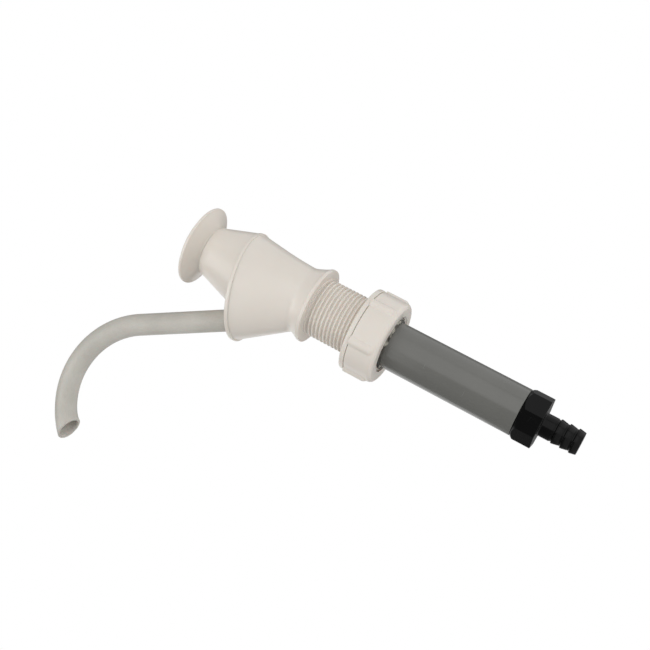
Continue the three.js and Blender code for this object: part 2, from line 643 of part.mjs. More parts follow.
/** Valve disc with a guide stem below it. */
function footValveDisc() {
  return revolve([
    [0, FOOT_VALVE_Z - GUIDE_LENGTH],
    [GUIDE_RADIUS, FOOT_VALVE_Z - GUIDE_LENGTH],
    [GUIDE_RADIUS, FOOT_VALVE_Z],
    [FOOT_VALVE_RADIUS, FOOT_VALVE_Z],
    [FOOT_VALVE_RADIUS, FOOT_VALVE_Z + VALVE_HEIGHT],
    [0, FOOT_VALVE_Z + VALVE_HEIGHT],
  ], SMALL_SIDES);
}

/** Cage that stands on the seat and stops the valve's lift. */
function footValveCage() {
  const bottom = SEAT_TOP_Z + FIT_GAP;
  const shell = revolve([
    [CAGE_BORE_RADIUS, bottom],
    [SPIGOT_RADIUS, bottom],
    [SPIGOT_RADIUS, CAGE_TOP_Z],
    [0, CAGE_TOP_Z],
    [0, CAGE_ROOF_Z],
    [CAGE_BORE_RADIUS, CAGE_ROOF_Z],
  ]);
  const circle = CAGE_BORE_RADIUS - CAGE_WINDOW_RADIUS - FIT_GAP;
  const windows = holeCircle(
    CAGE_WINDOWS, circle, CAGE_WINDOW_RADIUS, CAGE_ROOF_Z - OVERCUT, CAGE_TOP_Z + OVERCUT);
  return windows.reduce((cage, window) => cage.subtract(window), shell);
}

// ---------------------------------------------------------------- plunger

/** Mushroom knob with a shallow dome and a hollow-flared underside. */
function plungerKnob() {
  const edgeTop = KNOB_RIM_Z + KNOB_EDGE;
  const socketRadius = ROD_RADIUS + FIT_GAP;
  return revolve([
    [socketRadius, KNOB_FOOT_Z],
    [KNOB_FOOT_RADIUS - KNOB_ROUNDING, KNOB_FOOT_Z],
    ...curve(
      [KNOB_FOOT_RADIUS, KNOB_FOOT_Z + KNOB_ROUNDING],
      [KNOB_FOOT_RADIUS + KNOB_FLARE_BOW, KNOB_FOOT_Z + KNOB_FLARE_RISE],
      [KNOB_RADIUS - KNOB_ROUNDING, KNOB_RIM_Z]),
    [KNOB_RADIUS, KNOB_RIM_Z + KNOB_ROUNDING],
    [KNOB_RADIUS, edgeTop - KNOB_ROUNDING],
    ...curve([KNOB_RADIUS - KNOB_ROUNDING, edgeTop], [KNOB_RADIUS / 2, KNOB_TOP_Z], [0, KNOB_TOP_Z]),
    [0, ROD_TOP_Z + FIT_GAP],
    [socketRadius, ROD_TOP_Z + FIT_GAP],
  ]);
}

/** Plunger rod, stepped down to a stud that carries the piston. */
function plungerRod() {
  const shoulder = PISTON_TOP_Z + VALVE_REST_GAP;
  return revolve([
    [0, LOCK_NUT_Z],
    [ROD_STUD_RADIUS, LOCK_NUT_Z],
    [ROD_STUD_RADIUS, shoulder],
    [ROD_RADIUS, shoulder],
    [ROD_RADIUS, ROD_TOP_Z],
    [0, ROD_TOP_Z],
  ], SMALL_SIDES);
}

/** Piston with water ports and a groove for its seal. */
function pistonBody() {
  const grooveTop = (PISTON_Z + PISTON_TOP_Z + PISTON_GROOVE_HEIGHT) / 2;
  const grooveBottom = grooveTop - PISTON_GROOVE_HEIGHT;
  const spool = revolve([
    [PISTON_BORE_RADIUS, PISTON_Z],
    [PISTON_RADIUS, PISTON_Z],
    [PISTON_RADIUS, grooveBottom],
    [PISTON_RADIUS - PISTON_GROOVE_DEPTH, grooveBottom],
    [PISTON_RADIUS - PISTON_GROOVE_DEPTH, grooveTop],
    [PISTON_RADIUS, grooveTop],
    [PISTON_RADIUS, PISTON_TOP_Z],
    [PISTON_BORE_RADIUS, PISTON_TOP_Z],
  ]);
  const ports = holeCircle(PORT_COUNT, PORT_CIRCLE, PORT_RADIUS, PISTON_Z - OVERCUT, PISTON_TOP_Z + OVERCUT);
  return ports.reduce((piston, port) => piston.subtract(port), spool);
}

/** Rubber ring in the piston's groove. */
function pistonSealRing() {
  const height = PISTON_GROOVE_HEIGHT - 2 * FIT_GAP;
  const bottom = (PISTON_Z + PISTON_TOP_Z - height) / 2;
  const outer = PISTON_RADIUS + PISTON_RUNNING_GAP / 2;
  return softRing(outer, PISTON_RADIUS - PISTON_GROOVE_DEPTH + FIT_GAP, bottom, height);
}

/** Washer between the piston and its lock nut, inside the ring of ports. */
function pistonWasher() {
  const top = PISTON_WASHER_Z + WASHER_HEIGHT;
  return ring(PISTON_WASHER_RADIUS, PISTON_BORE_RADIUS, PISTON_WASHER_Z, top, SMALL_SIDES);
}

/** Hexagon nut on the rod's stud. */
function pistonLockNut() {
  const corner = LOCK_NUT_FLATS / Math.sqrt(3);
  const body = prism(6, corner, LOCK_NUT_Z, LOCK_NUT_Z + LOCK_NUT_HEIGHT);
  return body.subtract(
    ring(PISTON_BORE_RADIUS, 0, LOCK_NUT_Z - OVERCUT, LOCK_NUT_Z + LOCK_NUT_HEIGHT + OVERCUT, SMALL_SIDES));
}

/** Clip on the rod that stops the piston valve's lift. */
function valveStopClip() {
  const inner = ROD_RADIUS + FIT_GAP;
  return ring(inner + CLIP_WIDTH, inner, CLIP_Z, CLIP_Z + CLIP_HEIGHT, SMALL_SIDES);
}

/** Ring valve that lies over the piston's ports and slides on the rod. */
function pistonValveDisc() {
  return ring(VALVE_RADIUS, ROD_RADIUS + FIT_GAP, PISTON_VALVE_Z, PISTON_VALVE_Z + VALVE_HEIGHT, SMALL_SIDES);
}

// ---------------------------------------------------------------- ring nut

/** Round nut with half-round grip ribs, threaded through. */
function ringNut() {
  const foot = NUT_TOP_Z - NUT_HEIGHT;
  const body = revolve([
    [0, foot],
    ...curve(
      [NUT_RADIUS - NUT_SHOULDER_WIDTH, foot],
      [NUT_RADIUS, foot + NUT_SHOULDER_BOW],
      [NUT_RADIUS, foot + NUT_SHOULDER]),
    [NUT_RADIUS, NUT_TOP_Z],
    [0, NUT_TOP_Z],
  ]);
  const ribAxis = NUT_RADIUS + RIB_PROUD - RIB_RADIUS;
  const ribFoot = foot + RIB_FOOT_RISE;
  const rib = revolve([
    [0, ribFoot],
    ...curve([RIB_TIP_RADIUS, ribFoot], [RIB_RADIUS, ribFoot], [RIB_RADIUS, ribFoot + RIB_TIP_HEIGHT]),
    [RIB_RADIUS, NUT_TOP_Z],
    [0, NUT_TOP_Z],
  ], RIB_SIDES);
  let blank = body;
  for (let i = 0; i < NUT_RIBS; i += 1) {
    const angle = THREE.MathUtils.degToRad(RIB_ANGLE) + (2 * Math.PI * i) / NUT_RIBS;
    const spot = new THREE.Matrix4().makeTranslation(ribAxis * Math.cos(angle), ribAxis * Math.sin(angle), 0);
    blank = blank.add(placed(rib, spot));
  }
  return blank.subtract(threadedColumn(NUT_BORE_RADIUS, THREAD_DEPTH, foot - OVERCUT, NUT_TOP_Z + OVERCUT));
}

/** Washer that bears on the deck, above the nut and clear of the thread. */
function nutWasher() {
  const bottom = NUT_TOP_Z + FIT_GAP;
  return ring(NUT_RADIUS + NUT_WASHER_PROUD, NUT_BORE_RADIUS, bottom, bottom + NUT_WASHER_HEIGHT);
}

// ---------------------------------------------------------------- materials and assembly

/** One finish: colour, roughness and metalness. */
function finish(color, roughness, metalness = 0) {
  return new THREE.MeshStandardMaterial({ color, roughness, metalness });
}

const ivory = () => finish(0xe6e0d6, 0.38);
const paleGrey = () => finish(0xbdb9b0, 0.55);
const pipeGrey = () => finish(0x6d6d69, 0.5);
const black = () => finish(0x111112, 0.25);
const rubber = () => finish(0x1b1b1c, 0.8);
const steel = () => finish(0xb4b6b8, 0.3, 1);
const nylon = () => finish(0xdcd8cf, 0.5);
const cement = () => finish(0xb9b6ac, 0.3);

/** Named mesh of one piece. */
function piece(name, solid, material) {
  const mesh = new THREE.Mesh(geometryFrom(solid), material);
  mesh.name = name;
  return mesh;
}

/** Group that holds pieces which move or fasten together. */
function assembly(...pieces) {
  const group = new THREE.Group();
  group.add(...pieces);
  return group;
}

const head = assembly(
  piece('pump_body', pumpBody(), ivory()),
  piece('head_cover', headCover(), ivory()),
  piece('gland_bush', glandBush(), nylon()),
  piece('rod_seal', rodSeal(), rubber()),
  piece('gland_washer', glandWasher(), steel()),
);

const spout = assembly(
  piece('spout_tube', spoutTube(), paleGrey()),
  piece('spout_seal_ring', spoutSealRing(), rubber()),
);

const lowerEnd = assembly(
  piece('pump_cylinder', pumpCylinder(), pipeGrey()),
  piece('cement_bead', cementBead(), cement()),
  piece('inlet_fitting', inletFitting(), black()),
  piece('inlet_o_ring', inletORing(), rubber()),
  piece('foot_valve_seat', footValveSeat(), nylon()),
  piece('foot_valve_cage', footValveCage(), nylon()),
  piece('foot_valve_disc', footValveDisc(), rubber()),
);

const plunger = assembly(
  piece('plunger_knob', plungerKnob(), ivory()),
  piece('plunger_rod', plungerRod(), steel()),
  piece('piston_body', pistonBody(), nylon()),
  piece('piston_seal_ring', pistonSealRing(), rubber()),
  piece('piston_washer', pistonWasher(), steel()),
  piece('piston_lock_nut', pistonLockNut(), steel()),
  piece('valve_stop_clip', valveStopClip(), steel()),
  piece('piston_valve_disc', pistonValveDisc(), rubber()),
);

const clamp = assembly(
  piece('nut_washer', nutWasher(), ivory()),
  piece('ring_nut', ringNut(), ivory()),
);

const pump = assembly(head, spout, lowerEnd, plunger, clamp);

export default pump;
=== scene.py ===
"""Hand plunger pump for a deck: its mouldings, tubes, threads and valves, with their finishes.

Sizes in the classes are in millimetres and are turned to metres when a mesh is made. +Z runs up the
plunger's axis, +X points to the spout and the origin lies at the centre of the flange's underside.
"""
from __future__ import annotations

import logging
import math
from dataclasses import dataclass
from enum import Enum
from typing import Sequence, Union

import bmesh
import bpy
import numpy as np
from mathutils import Matrix, Vector


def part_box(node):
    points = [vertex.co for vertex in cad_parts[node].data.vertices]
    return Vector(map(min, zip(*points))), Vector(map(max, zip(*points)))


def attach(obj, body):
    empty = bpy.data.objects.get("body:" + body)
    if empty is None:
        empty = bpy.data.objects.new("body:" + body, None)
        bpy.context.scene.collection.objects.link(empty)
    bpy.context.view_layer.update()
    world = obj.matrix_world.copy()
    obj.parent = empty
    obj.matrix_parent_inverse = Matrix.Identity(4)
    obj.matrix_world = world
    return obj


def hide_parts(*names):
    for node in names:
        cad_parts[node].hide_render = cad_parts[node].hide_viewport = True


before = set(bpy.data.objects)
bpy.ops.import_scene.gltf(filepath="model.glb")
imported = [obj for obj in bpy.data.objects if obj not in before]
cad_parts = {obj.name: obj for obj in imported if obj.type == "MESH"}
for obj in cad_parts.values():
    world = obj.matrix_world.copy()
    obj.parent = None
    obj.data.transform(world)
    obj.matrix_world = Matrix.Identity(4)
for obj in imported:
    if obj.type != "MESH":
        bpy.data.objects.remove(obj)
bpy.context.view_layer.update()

MM = 0.001
TINY = 1e-6
CREASE = 32.0
# The cement's lumps, per metre, and which of them are drawn. Its shape and its colour share both.
LUMP_WAVE = 190.0
LUMP_SEED = 4.0
UNSTRETCHED = (1.0, 1.0, 1.0)
SCUFF_STRETCH = (1.0, 1.6, 0.7)
TUBE_MAP = "Along"
SIDEWAYS = np.array([0.0, 1.0, 0.0])
PUMP_MIDDLE = Vector((0.02, 0.0, -0.01))
WHITE = (1.0, 1.0, 1.0, 1.0)
log = logging.getLogger("pump")

Number = Union[float, int]
Point = tuple[float, float]
Corner = tuple[float, float, float]
Rows = list[np.ndarray]


# ------------------------------------------------------------------ node trees


class Value:
    """A number carried by a node's socket, on which sums are written as Python expressions."""

    def __init__(self, graph: "Graph", socket: bpy.types.NodeSocket) -> None:
        """Wraps a socket.

        Args:
            graph: The tree that the socket belongs to.
            socket: The output that carries the number.
        """
        self.graph = graph
        self.socket = socket

    def __add__(self, other: "Term") -> "Value":
        """Sum of two terms."""
        return self.graph.math("ADD", self, other)

    def __radd__(self, other: "Term") -> "Value":
        """Sum of two terms."""
        return self.graph.math("ADD", other, self)

    def __sub__(self, other: "Term") -> "Value":
        """Difference of two terms."""
        return self.graph.math("SUBTRACT", self, other)

    def __rsub__(self, other: "Term") -> "Value":
        """Difference of two terms, reflected."""
        return self.graph.math("SUBTRACT", other, self)

    def __mul__(self, other: "Term") -> "Value":
        """Product of two terms."""
        return self.graph.math("MULTIPLY", self, other)

    def __rmul__(self, other: "Term") -> "Value":
        """Product of two terms."""
        return self.graph.math("MULTIPLY", other, self)

    def __truediv__(self, other: "Term") -> "Value":
        """Quotient of two terms."""
        return self.graph.math("DIVIDE", self, other)

    def __gt__(self, other: "Term") -> "Value":
        """One where this is the larger, else nought."""
        return self.graph.math("GREATER_THAN", self, other)

    def __lt__(self, other: "Term") -> "Value":
        """One where this is the smaller, else nought."""
        return self.graph.math("LESS_THAN", self, other)

    def largest(self, other: "Term") -> "Value":
        """The larger of two terms."""
        return self.graph.math("MAXIMUM", self, other)

    def smallest(self, other: "Term") -> "Value":
        """The smaller of two terms."""
        return self.graph.math("MINIMUM", self, other)

    def root(self) -> "Value":
        """Square root."""
        return self.graph.math("SQRT", self)

    def cosine(self) -> "Value":
        """Cosine of an angle in radians."""
        return self.graph.math("COSINE", self)

    def sine(self) -> "Value":
        """Sine of an angle in radians."""
        return self.graph.math("SINE", self)

    def eased(self, low: Number, high: Number) -> "Value":
        """Smooth step from nought at low to one at high.

        Args:
            low: Where the step begins.
            high: Where it ends.

        Returns:
            The step's height.
        """
        node = self.graph.node(
            "ShaderNodeMapRange",
            {"interpolation_type": "SMOOTHSTEP"},
            {"Value": self, "From Min": low, "From Max": high},
        )
        return self.graph.out(node, "Result")


Term = Union[Value, float, int]


class Graph:
    """Builder for the nodes of one shader or geometry tree."""

    def __init__(self, tree: bpy.types.NodeTree) -> None:
        """Takes the tree that nodes are added to."""
        self.tree = tree

    def node(
        self, kind: str, settings: dict | None = None, inputs: dict | None = None
    ) -> bpy.types.Node:
        """Adds a node, with its settings first and then its sockets.

        Args:
            kind: The node's type name.
            settings: Attributes of the node.
            inputs: Values, sockets or plain values by socket name or number.

        Returns:
            The new node.
        """
        node = self.tree.nodes.new(kind)
        for name, value in (settings or {}).items():
            setattr(node, name, value)
        for key, value in (inputs or {}).items():
            socket = node.inputs[key]
            if isinstance(value, Value):
                self.tree.links.new(value.socket, socket)
            elif isinstance(value, bpy.types.NodeSocket):
                self.tree.links.new(value, socket)
            else:
                socket.default_value = value
        return node

    def out(self, node: bpy.types.Node, name: str | int = 0) -> Value:
        """One of a node's outputs as a value."""
        return Value(self, node.outputs[name])

    def math(self, operation: str, a: Term, b: Term | None = None) -> Value:
        """Adds one Math node.

        Args:
            operation: The node's operation.
            a: First term.
            b: Second term, if the operation has one.

        Returns:
            The result.
        """
        inputs = {0: a} if b is None else {0: a, 1: b}
        return self.out(self.node("ShaderNodeMath", {"operation": operation}, inputs))

    def blend(self, share: Term, a: Value | tuple, b: Value | tuple) -> Value:
        """Mixes two colours.

        Args:
            share: How much of the second colour, from 0 to 1.
            a: First colour.
            b: Second colour.

        Returns:
            The mixed colour.
        """
        node = self.node("ShaderNodeMix", {"data_type": "RGBA"}, {"Factor": share, 6: a, 7: b})
        return self.out(node, 2)

    def noise(self, place: Value, scale: float, detail: float = 2.0, rough: float = 0.5) -> Value:
        """Noise pattern's height.

        Args:
            place: Where it is read.
            scale: Waves per metre.
            detail: Octaves.
            rough: Weight of the finer octaves.

        Returns:
            A value near one half, from 0 to 1.
        """
        inputs = {"Vector": place, "Scale": scale, "Detail": detail, "Roughness": rough}
        return self.out(self.node("ShaderNodeTexNoise", None, inputs), 0)

    def lumps(self, place: Value, wave: Term, seed: Term) -> Value:
        """Height of the cement's lumps, from 0 to 1.

        Args:
            place: Where it is read.
            wave: Lumps per metre.
            seed: Which lumps are drawn.

        Returns:
            A value near one half.
        """
        inputs = {"Vector": place, "W": seed, "Scale": wave, "Detail": 1.0}
        return self.out(self.node("ShaderNodeTexNoise", {"noise_dimensions": "4D"}, inputs), 0)

    def stretched(self, place: Value, factors: tuple[float, float, float]) -> Value:
        """A position scaled along each axis."""
        node = self.node("ShaderNodeVectorMath", {"operation": "MULTIPLY"}, {0: place, 1: factors})
        return self.out(node, 0)


# ------------------------------------------------------------------ finishes


class Grain(Enum):
    """Which way a surface's fine marks run."""

    MOULDED = "moulded"
    EXTRUDED = "extruded"
    SWEPT = "swept"
    TURNED = "turned"
    LUMPY = "lumpy"


@dataclass(frozen=True)
class Layer:
    """One layer of a surface's fine marks.

    Attributes:
        wave: Marks per metre, or per length of the piece's own map.
        weight: This layer's share of the marks.
        detail: Octaves.
        rough: Weight of the finer octaves.
        stretch: Scale along each axis; a small one draws the marks out that way.
        mapped: Whether the layer follows the piece's own map.
    """

    wave: float
    weight: float
    detail: float = 2.0
    rough: float = 0.5
    stretch: tuple[float, float, float] = UNSTRETCHED
    mapped: bool = False


GRAIN_LAYERS: dict[Grain, tuple[Layer, ...]] = {
    Grain.MOULDED: (Layer(1900.0, 0.55, 3.0, 0.6), Layer(240.0, 0.45)),
    Grain.EXTRUDED: (Layer(900.0, 0.7, 3.0, 0.6, (1.0, 1.0, 0.012)), Layer(1500.0, 0.3)),
    Grain.SWEPT: (Layer(60.0, 0.6, 3.0, 0.6, (1.0, 0.05, 1.0), mapped=True), Layer(1100.0, 0.4, 3.0)),
    Grain.TURNED: (Layer(5200.0, 1.0, 3.0, 0.7, (0.02, 0.02, 1.0)),),
}


@dataclass(frozen=True)
class Finish:
    """One surface finish and what its material shows.

    Attributes:
        label: The material's name.
        slot: The record's material slot; not used.
        light: Base colour where the tone is lighter.
        dark: Base colour where the tone is darker.
        gloss: Roughness of the smoothest and of the dullest places.
        grain: Which way the fine marks run.
        relief: Height of the fine marks, in millimetres.
        coat: Weight of the clear skin on top.
        glow: Weight of the light that the plastic carries under its skin.
        metal: Metallic value.
        shine: Strength of the mirror-like reflection.
        streak: How strongly the marks tint the colour.
        wear: How much of the handling scratches shows.
        cloud_wave: Clouds of lighter and darker tone per metre.
        cloud_contrast: How strongly the clouds show.
        cloud_share: How far the clouds, and not the marks, set the gloss.
        worn_gain: Share of the lighter colour in a scratch.
        worn_lift: White added to a scratch.
        scuff_wave: Cells between scratches per metre.
        scuff_width: Width of a scratch, as a share of a cell.
        scuff_dulling: How much rougher a scratch is.
        scuff_depth: Depth of a scratch, as a share of the relief.
        patch_wave: Scratched patches per metre.
        patch_range: Pattern height at which a patch begins and is full.
        lump_range: Lump height at which cement turns from its dark colour, painted shade, to the light
            colour of its lumps.
        bump: Strength of the relief.
        coat_gloss: Roughness of the clear skin.
        glow_reach: How far light travels under the skin, in metres.
    """

    label: str
    slot: str
    light: tuple[float, float, float]
    dark: tuple[float, float, float]
    gloss: tuple[float, float]
    grain: Grain
    relief: float
    coat: float = 0.0
    glow: float = 0.0
    metal: float = 0.0
    shine: float = 0.5
    streak: float = 0.35
    wear: float = 0.35
    cloud_wave: float = 42.0
    cloud_contrast: float = 1.3
    cloud_share: float = 0.6
    worn_gain: float = 0.82
    worn_lift: float = 0.16
    scuff_wave: float = 150.0
    scuff_width: float = 0.012
    scuff_dulling: float = 0.16
    scuff_depth: float = 0.35
    patch_wave: float = 95.0
    patch_range: Point = (0.60, 0.72)
    lump_range: Point = (0.56, 0.66)
    bump: float = 0.85
    coat_gloss: float = 0.12
    glow_reach: float = 0.004

    def material(self) -> bpy.types.Material:
        """The finish's material, made once and then reused.

        Returns:
            The material.
        """
        made = bpy.data.materials.get(self.label)
        if made is not None:
            return made
        made = bpy.data.materials.new(self.label)
        made.use_nodes = True
        made.diffuse_color = (*self.light, 1.0)
        made.node_tree.nodes.clear()
        graph = Graph(made.node_tree)
        place = graph.out(graph.node("ShaderNodeTexCoord"), "Object")
        marks = self._marks(graph, place)
        cloud = graph.noise(place, self.cloud_wave, 3.0, 0.55)
        scuffs = self._scuffs(graph, place)
        tone = (cloud - 0.5) * self.cloud_contrast + (marks - 0.5) * self.streak + 0.5
        colour = graph.blend(tone.largest(0.0).smallest(1.0), (*self.dark, 1.0), (*self.light, 1.0))
        worn = tuple(self.worn_gain * c + self.worn_lift for c in self.light)
        colour = graph.blend(scuffs * self.wear, colour, (*worn, 1.0))
        low, high = self.gloss
        dull = cloud * self.cloud_share + marks * (1.0 - self.cloud_share)
        rough = dull * (high - low) + low + scuffs * self.scuff_dulling
        height = marks * self.relief - scuffs * (self.scuff_depth * self.relief)
        bump = graph.node(
            "ShaderNodeBump", None, {"Strength": self.bump, "Distance": MM, "Height": height})
        skin = graph.node("ShaderNodeBsdfPrincipled", None, {
            "Base Color": colour,
            "Roughness": rough.smallest(1.0),
            "Metallic": self.metal,
            "Specular IOR Level": self.shine,
            "Coat Weight": self.coat,
            "Coat Roughness": self.coat_gloss,
            "Subsurface Weight": self.glow,
            "Subsurface Scale": self.glow_reach,
            "Normal": graph.out(bump, "Normal"),
        })
        graph.node("ShaderNodeOutputMaterial", None, {"Surface": skin.outputs["BSDF"]})
        return made

    def _marks(self, graph: Graph, place: Value) -> Value:
        """The fine marks left by how the piece was made.

        Args:
            graph: The material's tree.
            place: Object coordinates.

        Returns:
            Their height, from 0 to 1.
        """
        if self.grain is Grain.LUMPY:
            return graph.lumps(place, LUMP_WAVE, LUMP_SEED).eased(*self.lump_range)
        parts = []
        for layer in GRAIN_LAYERS[self.grain]:
            where = place
            if layer.mapped:
                where = graph.out(graph.node("ShaderNodeUVMap", {"uv_map": TUBE_MAP}))
            if layer.stretch != UNSTRETCHED:
                where = graph.stretched(where, layer.stretch)
            parts.append(graph.noise(where, layer.wave, layer.detail, layer.rough) * layer.weight)
        return sum(parts[1:], parts[0])

    def _scuffs(self, graph: Graph, place: Value) -> Value:
        """Thin handling scratches, in patches.

        Args:
            graph: The material's tree.
            place: Object coordinates.

        Returns:
            Their strength, from 0 to 1.
        """
        cell = graph.node(
            "ShaderNodeTexVoronoi",
            {"feature": "DISTANCE_TO_EDGE"},
            {"Vector": graph.stretched(place, SCUFF_STRETCH), "Scale": self.scuff_wave})
        line = 1.0 - graph.out(cell, "Distance").eased(0.0, self.scuff_width)
        return line * graph.noise(place, self.patch_wave).eased(*self.patch_range)


IVORY = Finish(
    "ivory moulding", "ivory_plastic", (0.80, 0.745, 0.68), (0.745, 0.69, 0.62),
    gloss=(0.26, 0.38), grain=Grain.MOULDED, relief=0.010, coat=0.15, glow=0.06)
SPOUT_GREY = Finish(
    "spout tubing", "spout_plastic", (0.60, 0.58, 0.53), (0.44, 0.42, 0.375),
    gloss=(0.36, 0.52), grain=Grain.SWEPT, relief=0.012, glow=0.08, streak=1.1)
PIPE_GREY = Finish(
    "grey pipe", "pipe_grey", (0.150, 0.150, 0.138), (0.130, 0.130, 0.120),
    gloss=(0.18, 0.26), grain=Grain.EXTRUDED, relief=0.004, shine=0.75)
BLACK = Finish(
    "black moulding", "black_plastic", (0.002, 0.002, 0.002), (0.001, 0.001, 0.001),
    gloss=(0.12, 0.24), grain=Grain.MOULDED, relief=0.008, shine=0.22, wear=0.06)
RUBBER = Finish(
    "seal rubber", "seal_rubber", (0.035, 0.035, 0.036), (0.02, 0.02, 0.021),
    gloss=(0.62, 0.82), grain=Grain.MOULDED, relief=0.014)
STEEL = Finish(
    "drawn steel", "rod_steel", (0.63, 0.64, 0.65), (0.52, 0.53, 0.54),
    gloss=(0.20, 0.32), grain=Grain.TURNED, relief=0.001, metal=1.0, streak=0.15)
NYLON = Finish(
    "natural nylon", "nylon", (0.74, 0.715, 0.655), (0.66, 0.635, 0.575),
    gloss=(0.40, 0.55), grain=Grain.MOULDED, relief=0.010, glow=0.10)
# Near-black base colour is painted shade for the deep gap in the nut's mouth; only the lighter lumps are
# the cement's own colour.
CEMENT_AND_PAINTED_SHADE = Finish(
    "dried cement and painted shade", "cement", (0.42, 0.40, 0.34), (0.012, 0.010, 0.008),
    gloss=(0.35, 0.60), grain=Grain.LUMPY, relief=0.03, shine=0.3, streak=1.0)


# ------------------------------------------------------------------ mesh shapes


def rounded(corners: Sequence[Corner], steps: int = 5) -> list[Point]:
    """Outline with its corners rounded, each within just under half of its sides.

    Args:
        corners: Radius, height and rounding of each corner.
        steps: Pieces in each rounding.

    Returns:
        Radius and height of each point.
    """
    most = 0.49
    points: list[Point] = []
    count = len(corners)
    for i, (r, z, fillet) in enumerate(corners):
        here = np.array([r, z])
        before = np.array(corners[i - 1][:2]) - here
        after = np.array(corners[(i + 1) % count][:2]) - here
        reach_in, reach_out = np.linalg.norm(before), np.linalg.norm(after)
        if fillet <= 0 or reach_in < TINY or reach_out < TINY:
            points.append((r, z))
            continue
        u, v = before / reach_in, after / reach_out
        half = 0.5 * math.acos(float(np.clip(u @ v, -1.0, 1.0)))
        back = min(fillet / max(math.tan(half), TINY), most * reach_in, most * reach_out)
        for k in range(steps + 1):
            t = k / steps
            point = here + (1 - t) ** 2 * back * u + t**2 * back * v
            points.append((float(point[0]), float(point[1])))
    return points


def arc(start: Point, pull: Point, end: Point, steps: int) -> list[Corner]:
    """Points of a smooth bow between two points, as unrounded corners.

    Args:
        start: Radius and height of the first point.
        pull: Point that the bow leans towards.
        end: Radius and height of the last point.
        steps: Pieces in the bow.

    Returns:
        Corners along the bow, both ends among them.
    """
    share = np.linspace(0.0, 1.0, steps + 1)[:, None]
    a, b, c = np.array(start), np.array(pull), np.array(end)
    points = (1 - share) ** 2 * a + 2 * share * (1 - share) * b + share**2 * c
    return [(float(r), float(z), 0.0) for r, z in points]


def evenly(low: float, high: float, step: float) -> list[float]:
    """Heights from one value to another, about a step apart."""
    count = max(1, round(abs(high - low) / step))
    return [low + (high - low) * i / count for i in range(count + 1)]


def even_angles(count: int) -> np.ndarray:
    """Angles of evenly spaced columns round a circle, in radians."""
    return np.linspace(0.0, 2 * math.pi, count, endpoint=False)


def loop_at(reach: np.ndarray | float, z: np.ndarray | float, angles: np.ndarray) -> np.ndarray:
    """Points at a distance from the Z axis and a height, one for each angle."""
    return np.column_stack([
        reach * np.cos(angles), reach * np.sin(angles), np.broadcast_to(z, (len(angles),))])


def spun(outline: Sequence[Point], angles: np.ndarray) -> Rows:
    """Rows of points of an outline turned about Z."""
    return [loop_at(r, z, angles) for r, z in outline]


def smooth_larger(a: np.ndarray | float, b: np.ndarray | float, width: float) -> np.ndarray | float:
    """The larger of two lengths, with a soft change from one to the other."""
    gap = np.maximum(width - np.abs(a - b), 0.0) / width
    return np.maximum(a, b) + gap * gap * width * 0.25


def mesh_from_rows(name: str, rows: Rows, closed: bool = False) -> bpy.types.Object:
    """Closed skin over rows of points, each row a loop round the piece.

    Args:
        name: The object's name.
        rows: Rows in millimetres, with as many points in each.
        closed: Whether the last row joins the first; if not, both ends are closed to a point or a face.

    Returns:
        The new object, in metres, with faces that point outwards.
    """
    columns = len(rows[0])
    mesh = bpy.data.meshes.new(name)
    faces = []
    pairs = len(rows) if closed else len(rows) - 1
    for i in range(pairs):
        a, b = i * columns, ((i + 1) % len(rows)) * columns
        for j in range(columns):
            k = (j + 1) % columns
            faces.append((a + j, a + k, b + k, b + j))
    if not closed:
        faces.append(tuple(range(columns)))
        last = (len(rows) - 1) * columns
        faces.append(tuple(last + j for j in reversed(range(columns))))
    mesh.from_pydata((np.vstack(rows) * MM).tolist(), [], faces)
    return tidied(name, mesh)


def tidied(name: str, mesh: bpy.types.Mesh) -> bpy.types.Object:
    """Object from a mesh, with doubles merged and faces outward.

    Args:
        name: The object's name.
        mesh: The mesh, in metres.

    Returns:
        The object, linked to the scene.
    """
    work = bmesh.new()
    work.from_mesh(mesh)
    bmesh.ops.remove_doubles(work, verts=work.verts, dist=1e-7)
    bmesh.ops.dissolve_degenerate(work, edges=work.edges, dist=1e-8)
    bmesh.ops.recalc_face_normals(work, faces=work.faces)
    work.to_mesh(mesh)
    work.free()
    piece = bpy.data.objects.new(name, mesh)
    bpy.context.scene.collection.objects.link(piece)
    return piece


def softened(piece: bpy.types.Object, degrees: float) -> None:
    """Smooth shading, with creases kept where faces meet at more than an angle."""
    piece.data.polygons.foreach_set("use_smooth", [True] * len(piece.data.polygons))
    piece.data.set_sharp_from_angle(angle=math.radians(degrees))


def turned(
    name: str, corners: Sequence[Corner], columns: int = 96, steps: int = 4
) -> bpy.types.Object:
    """Ring or rod turned about Z from a closed outline with rounded corners.

    Args:
        name: The object's name.
        corners: Radius, height and rounding of each corner, round the section.
        columns: Points round the circle.
        steps: Pieces in each rounding.

    Returns:
        The object.
    """
    outline = rounded(corners, steps)
    solid = min(r for r, _ in outline) < TINY
    if solid:
        first = next(
            i for i, (r, _) in enumerate(outline) if r < TINY and outline[i - 1][0] < TINY)
        outline = outline[first:] + outline[:first]
    return mesh_from_rows(name, spun(outline, even_angles(columns)), closed=not solid)


class Work(Enum):
    """What one closed piece does to another."""

    JOIN = "UNION"
    CUT = "DIFFERENCE"


def with_modifiers_applied(piece: bpy.types.Object) -> None:
    """Turns what a piece's modifiers show into its plain mesh and removes them.

    Args:
        piece: The piece that is changed.
    """
    seen = piece.evaluated_get(bpy.context.evaluated_depsgraph_get())
    taken = bpy.data.meshes.new_from_object(seen)
    piece.modifiers.clear()
    old = piece.data
    piece.data = taken
    bpy.data.meshes.remove(old)


def worked(piece: bpy.types.Object, other: bpy.types.Object, work: Work) -> None:
    """Joins another closed piece to a piece, or cuts it away, and removes the other.

    Args:
        piece: The piece that is changed.
        other: The piece that is joined or cut away.
        work: Which of the two is done.
    """
    tool = piece.modifiers.new("work", "BOOLEAN")
    tool.operation = work.value
    tool.solver = "EXACT"
    tool.object = other
    with_modifiers_applied(piece)
    bpy.data.objects.remove(other)


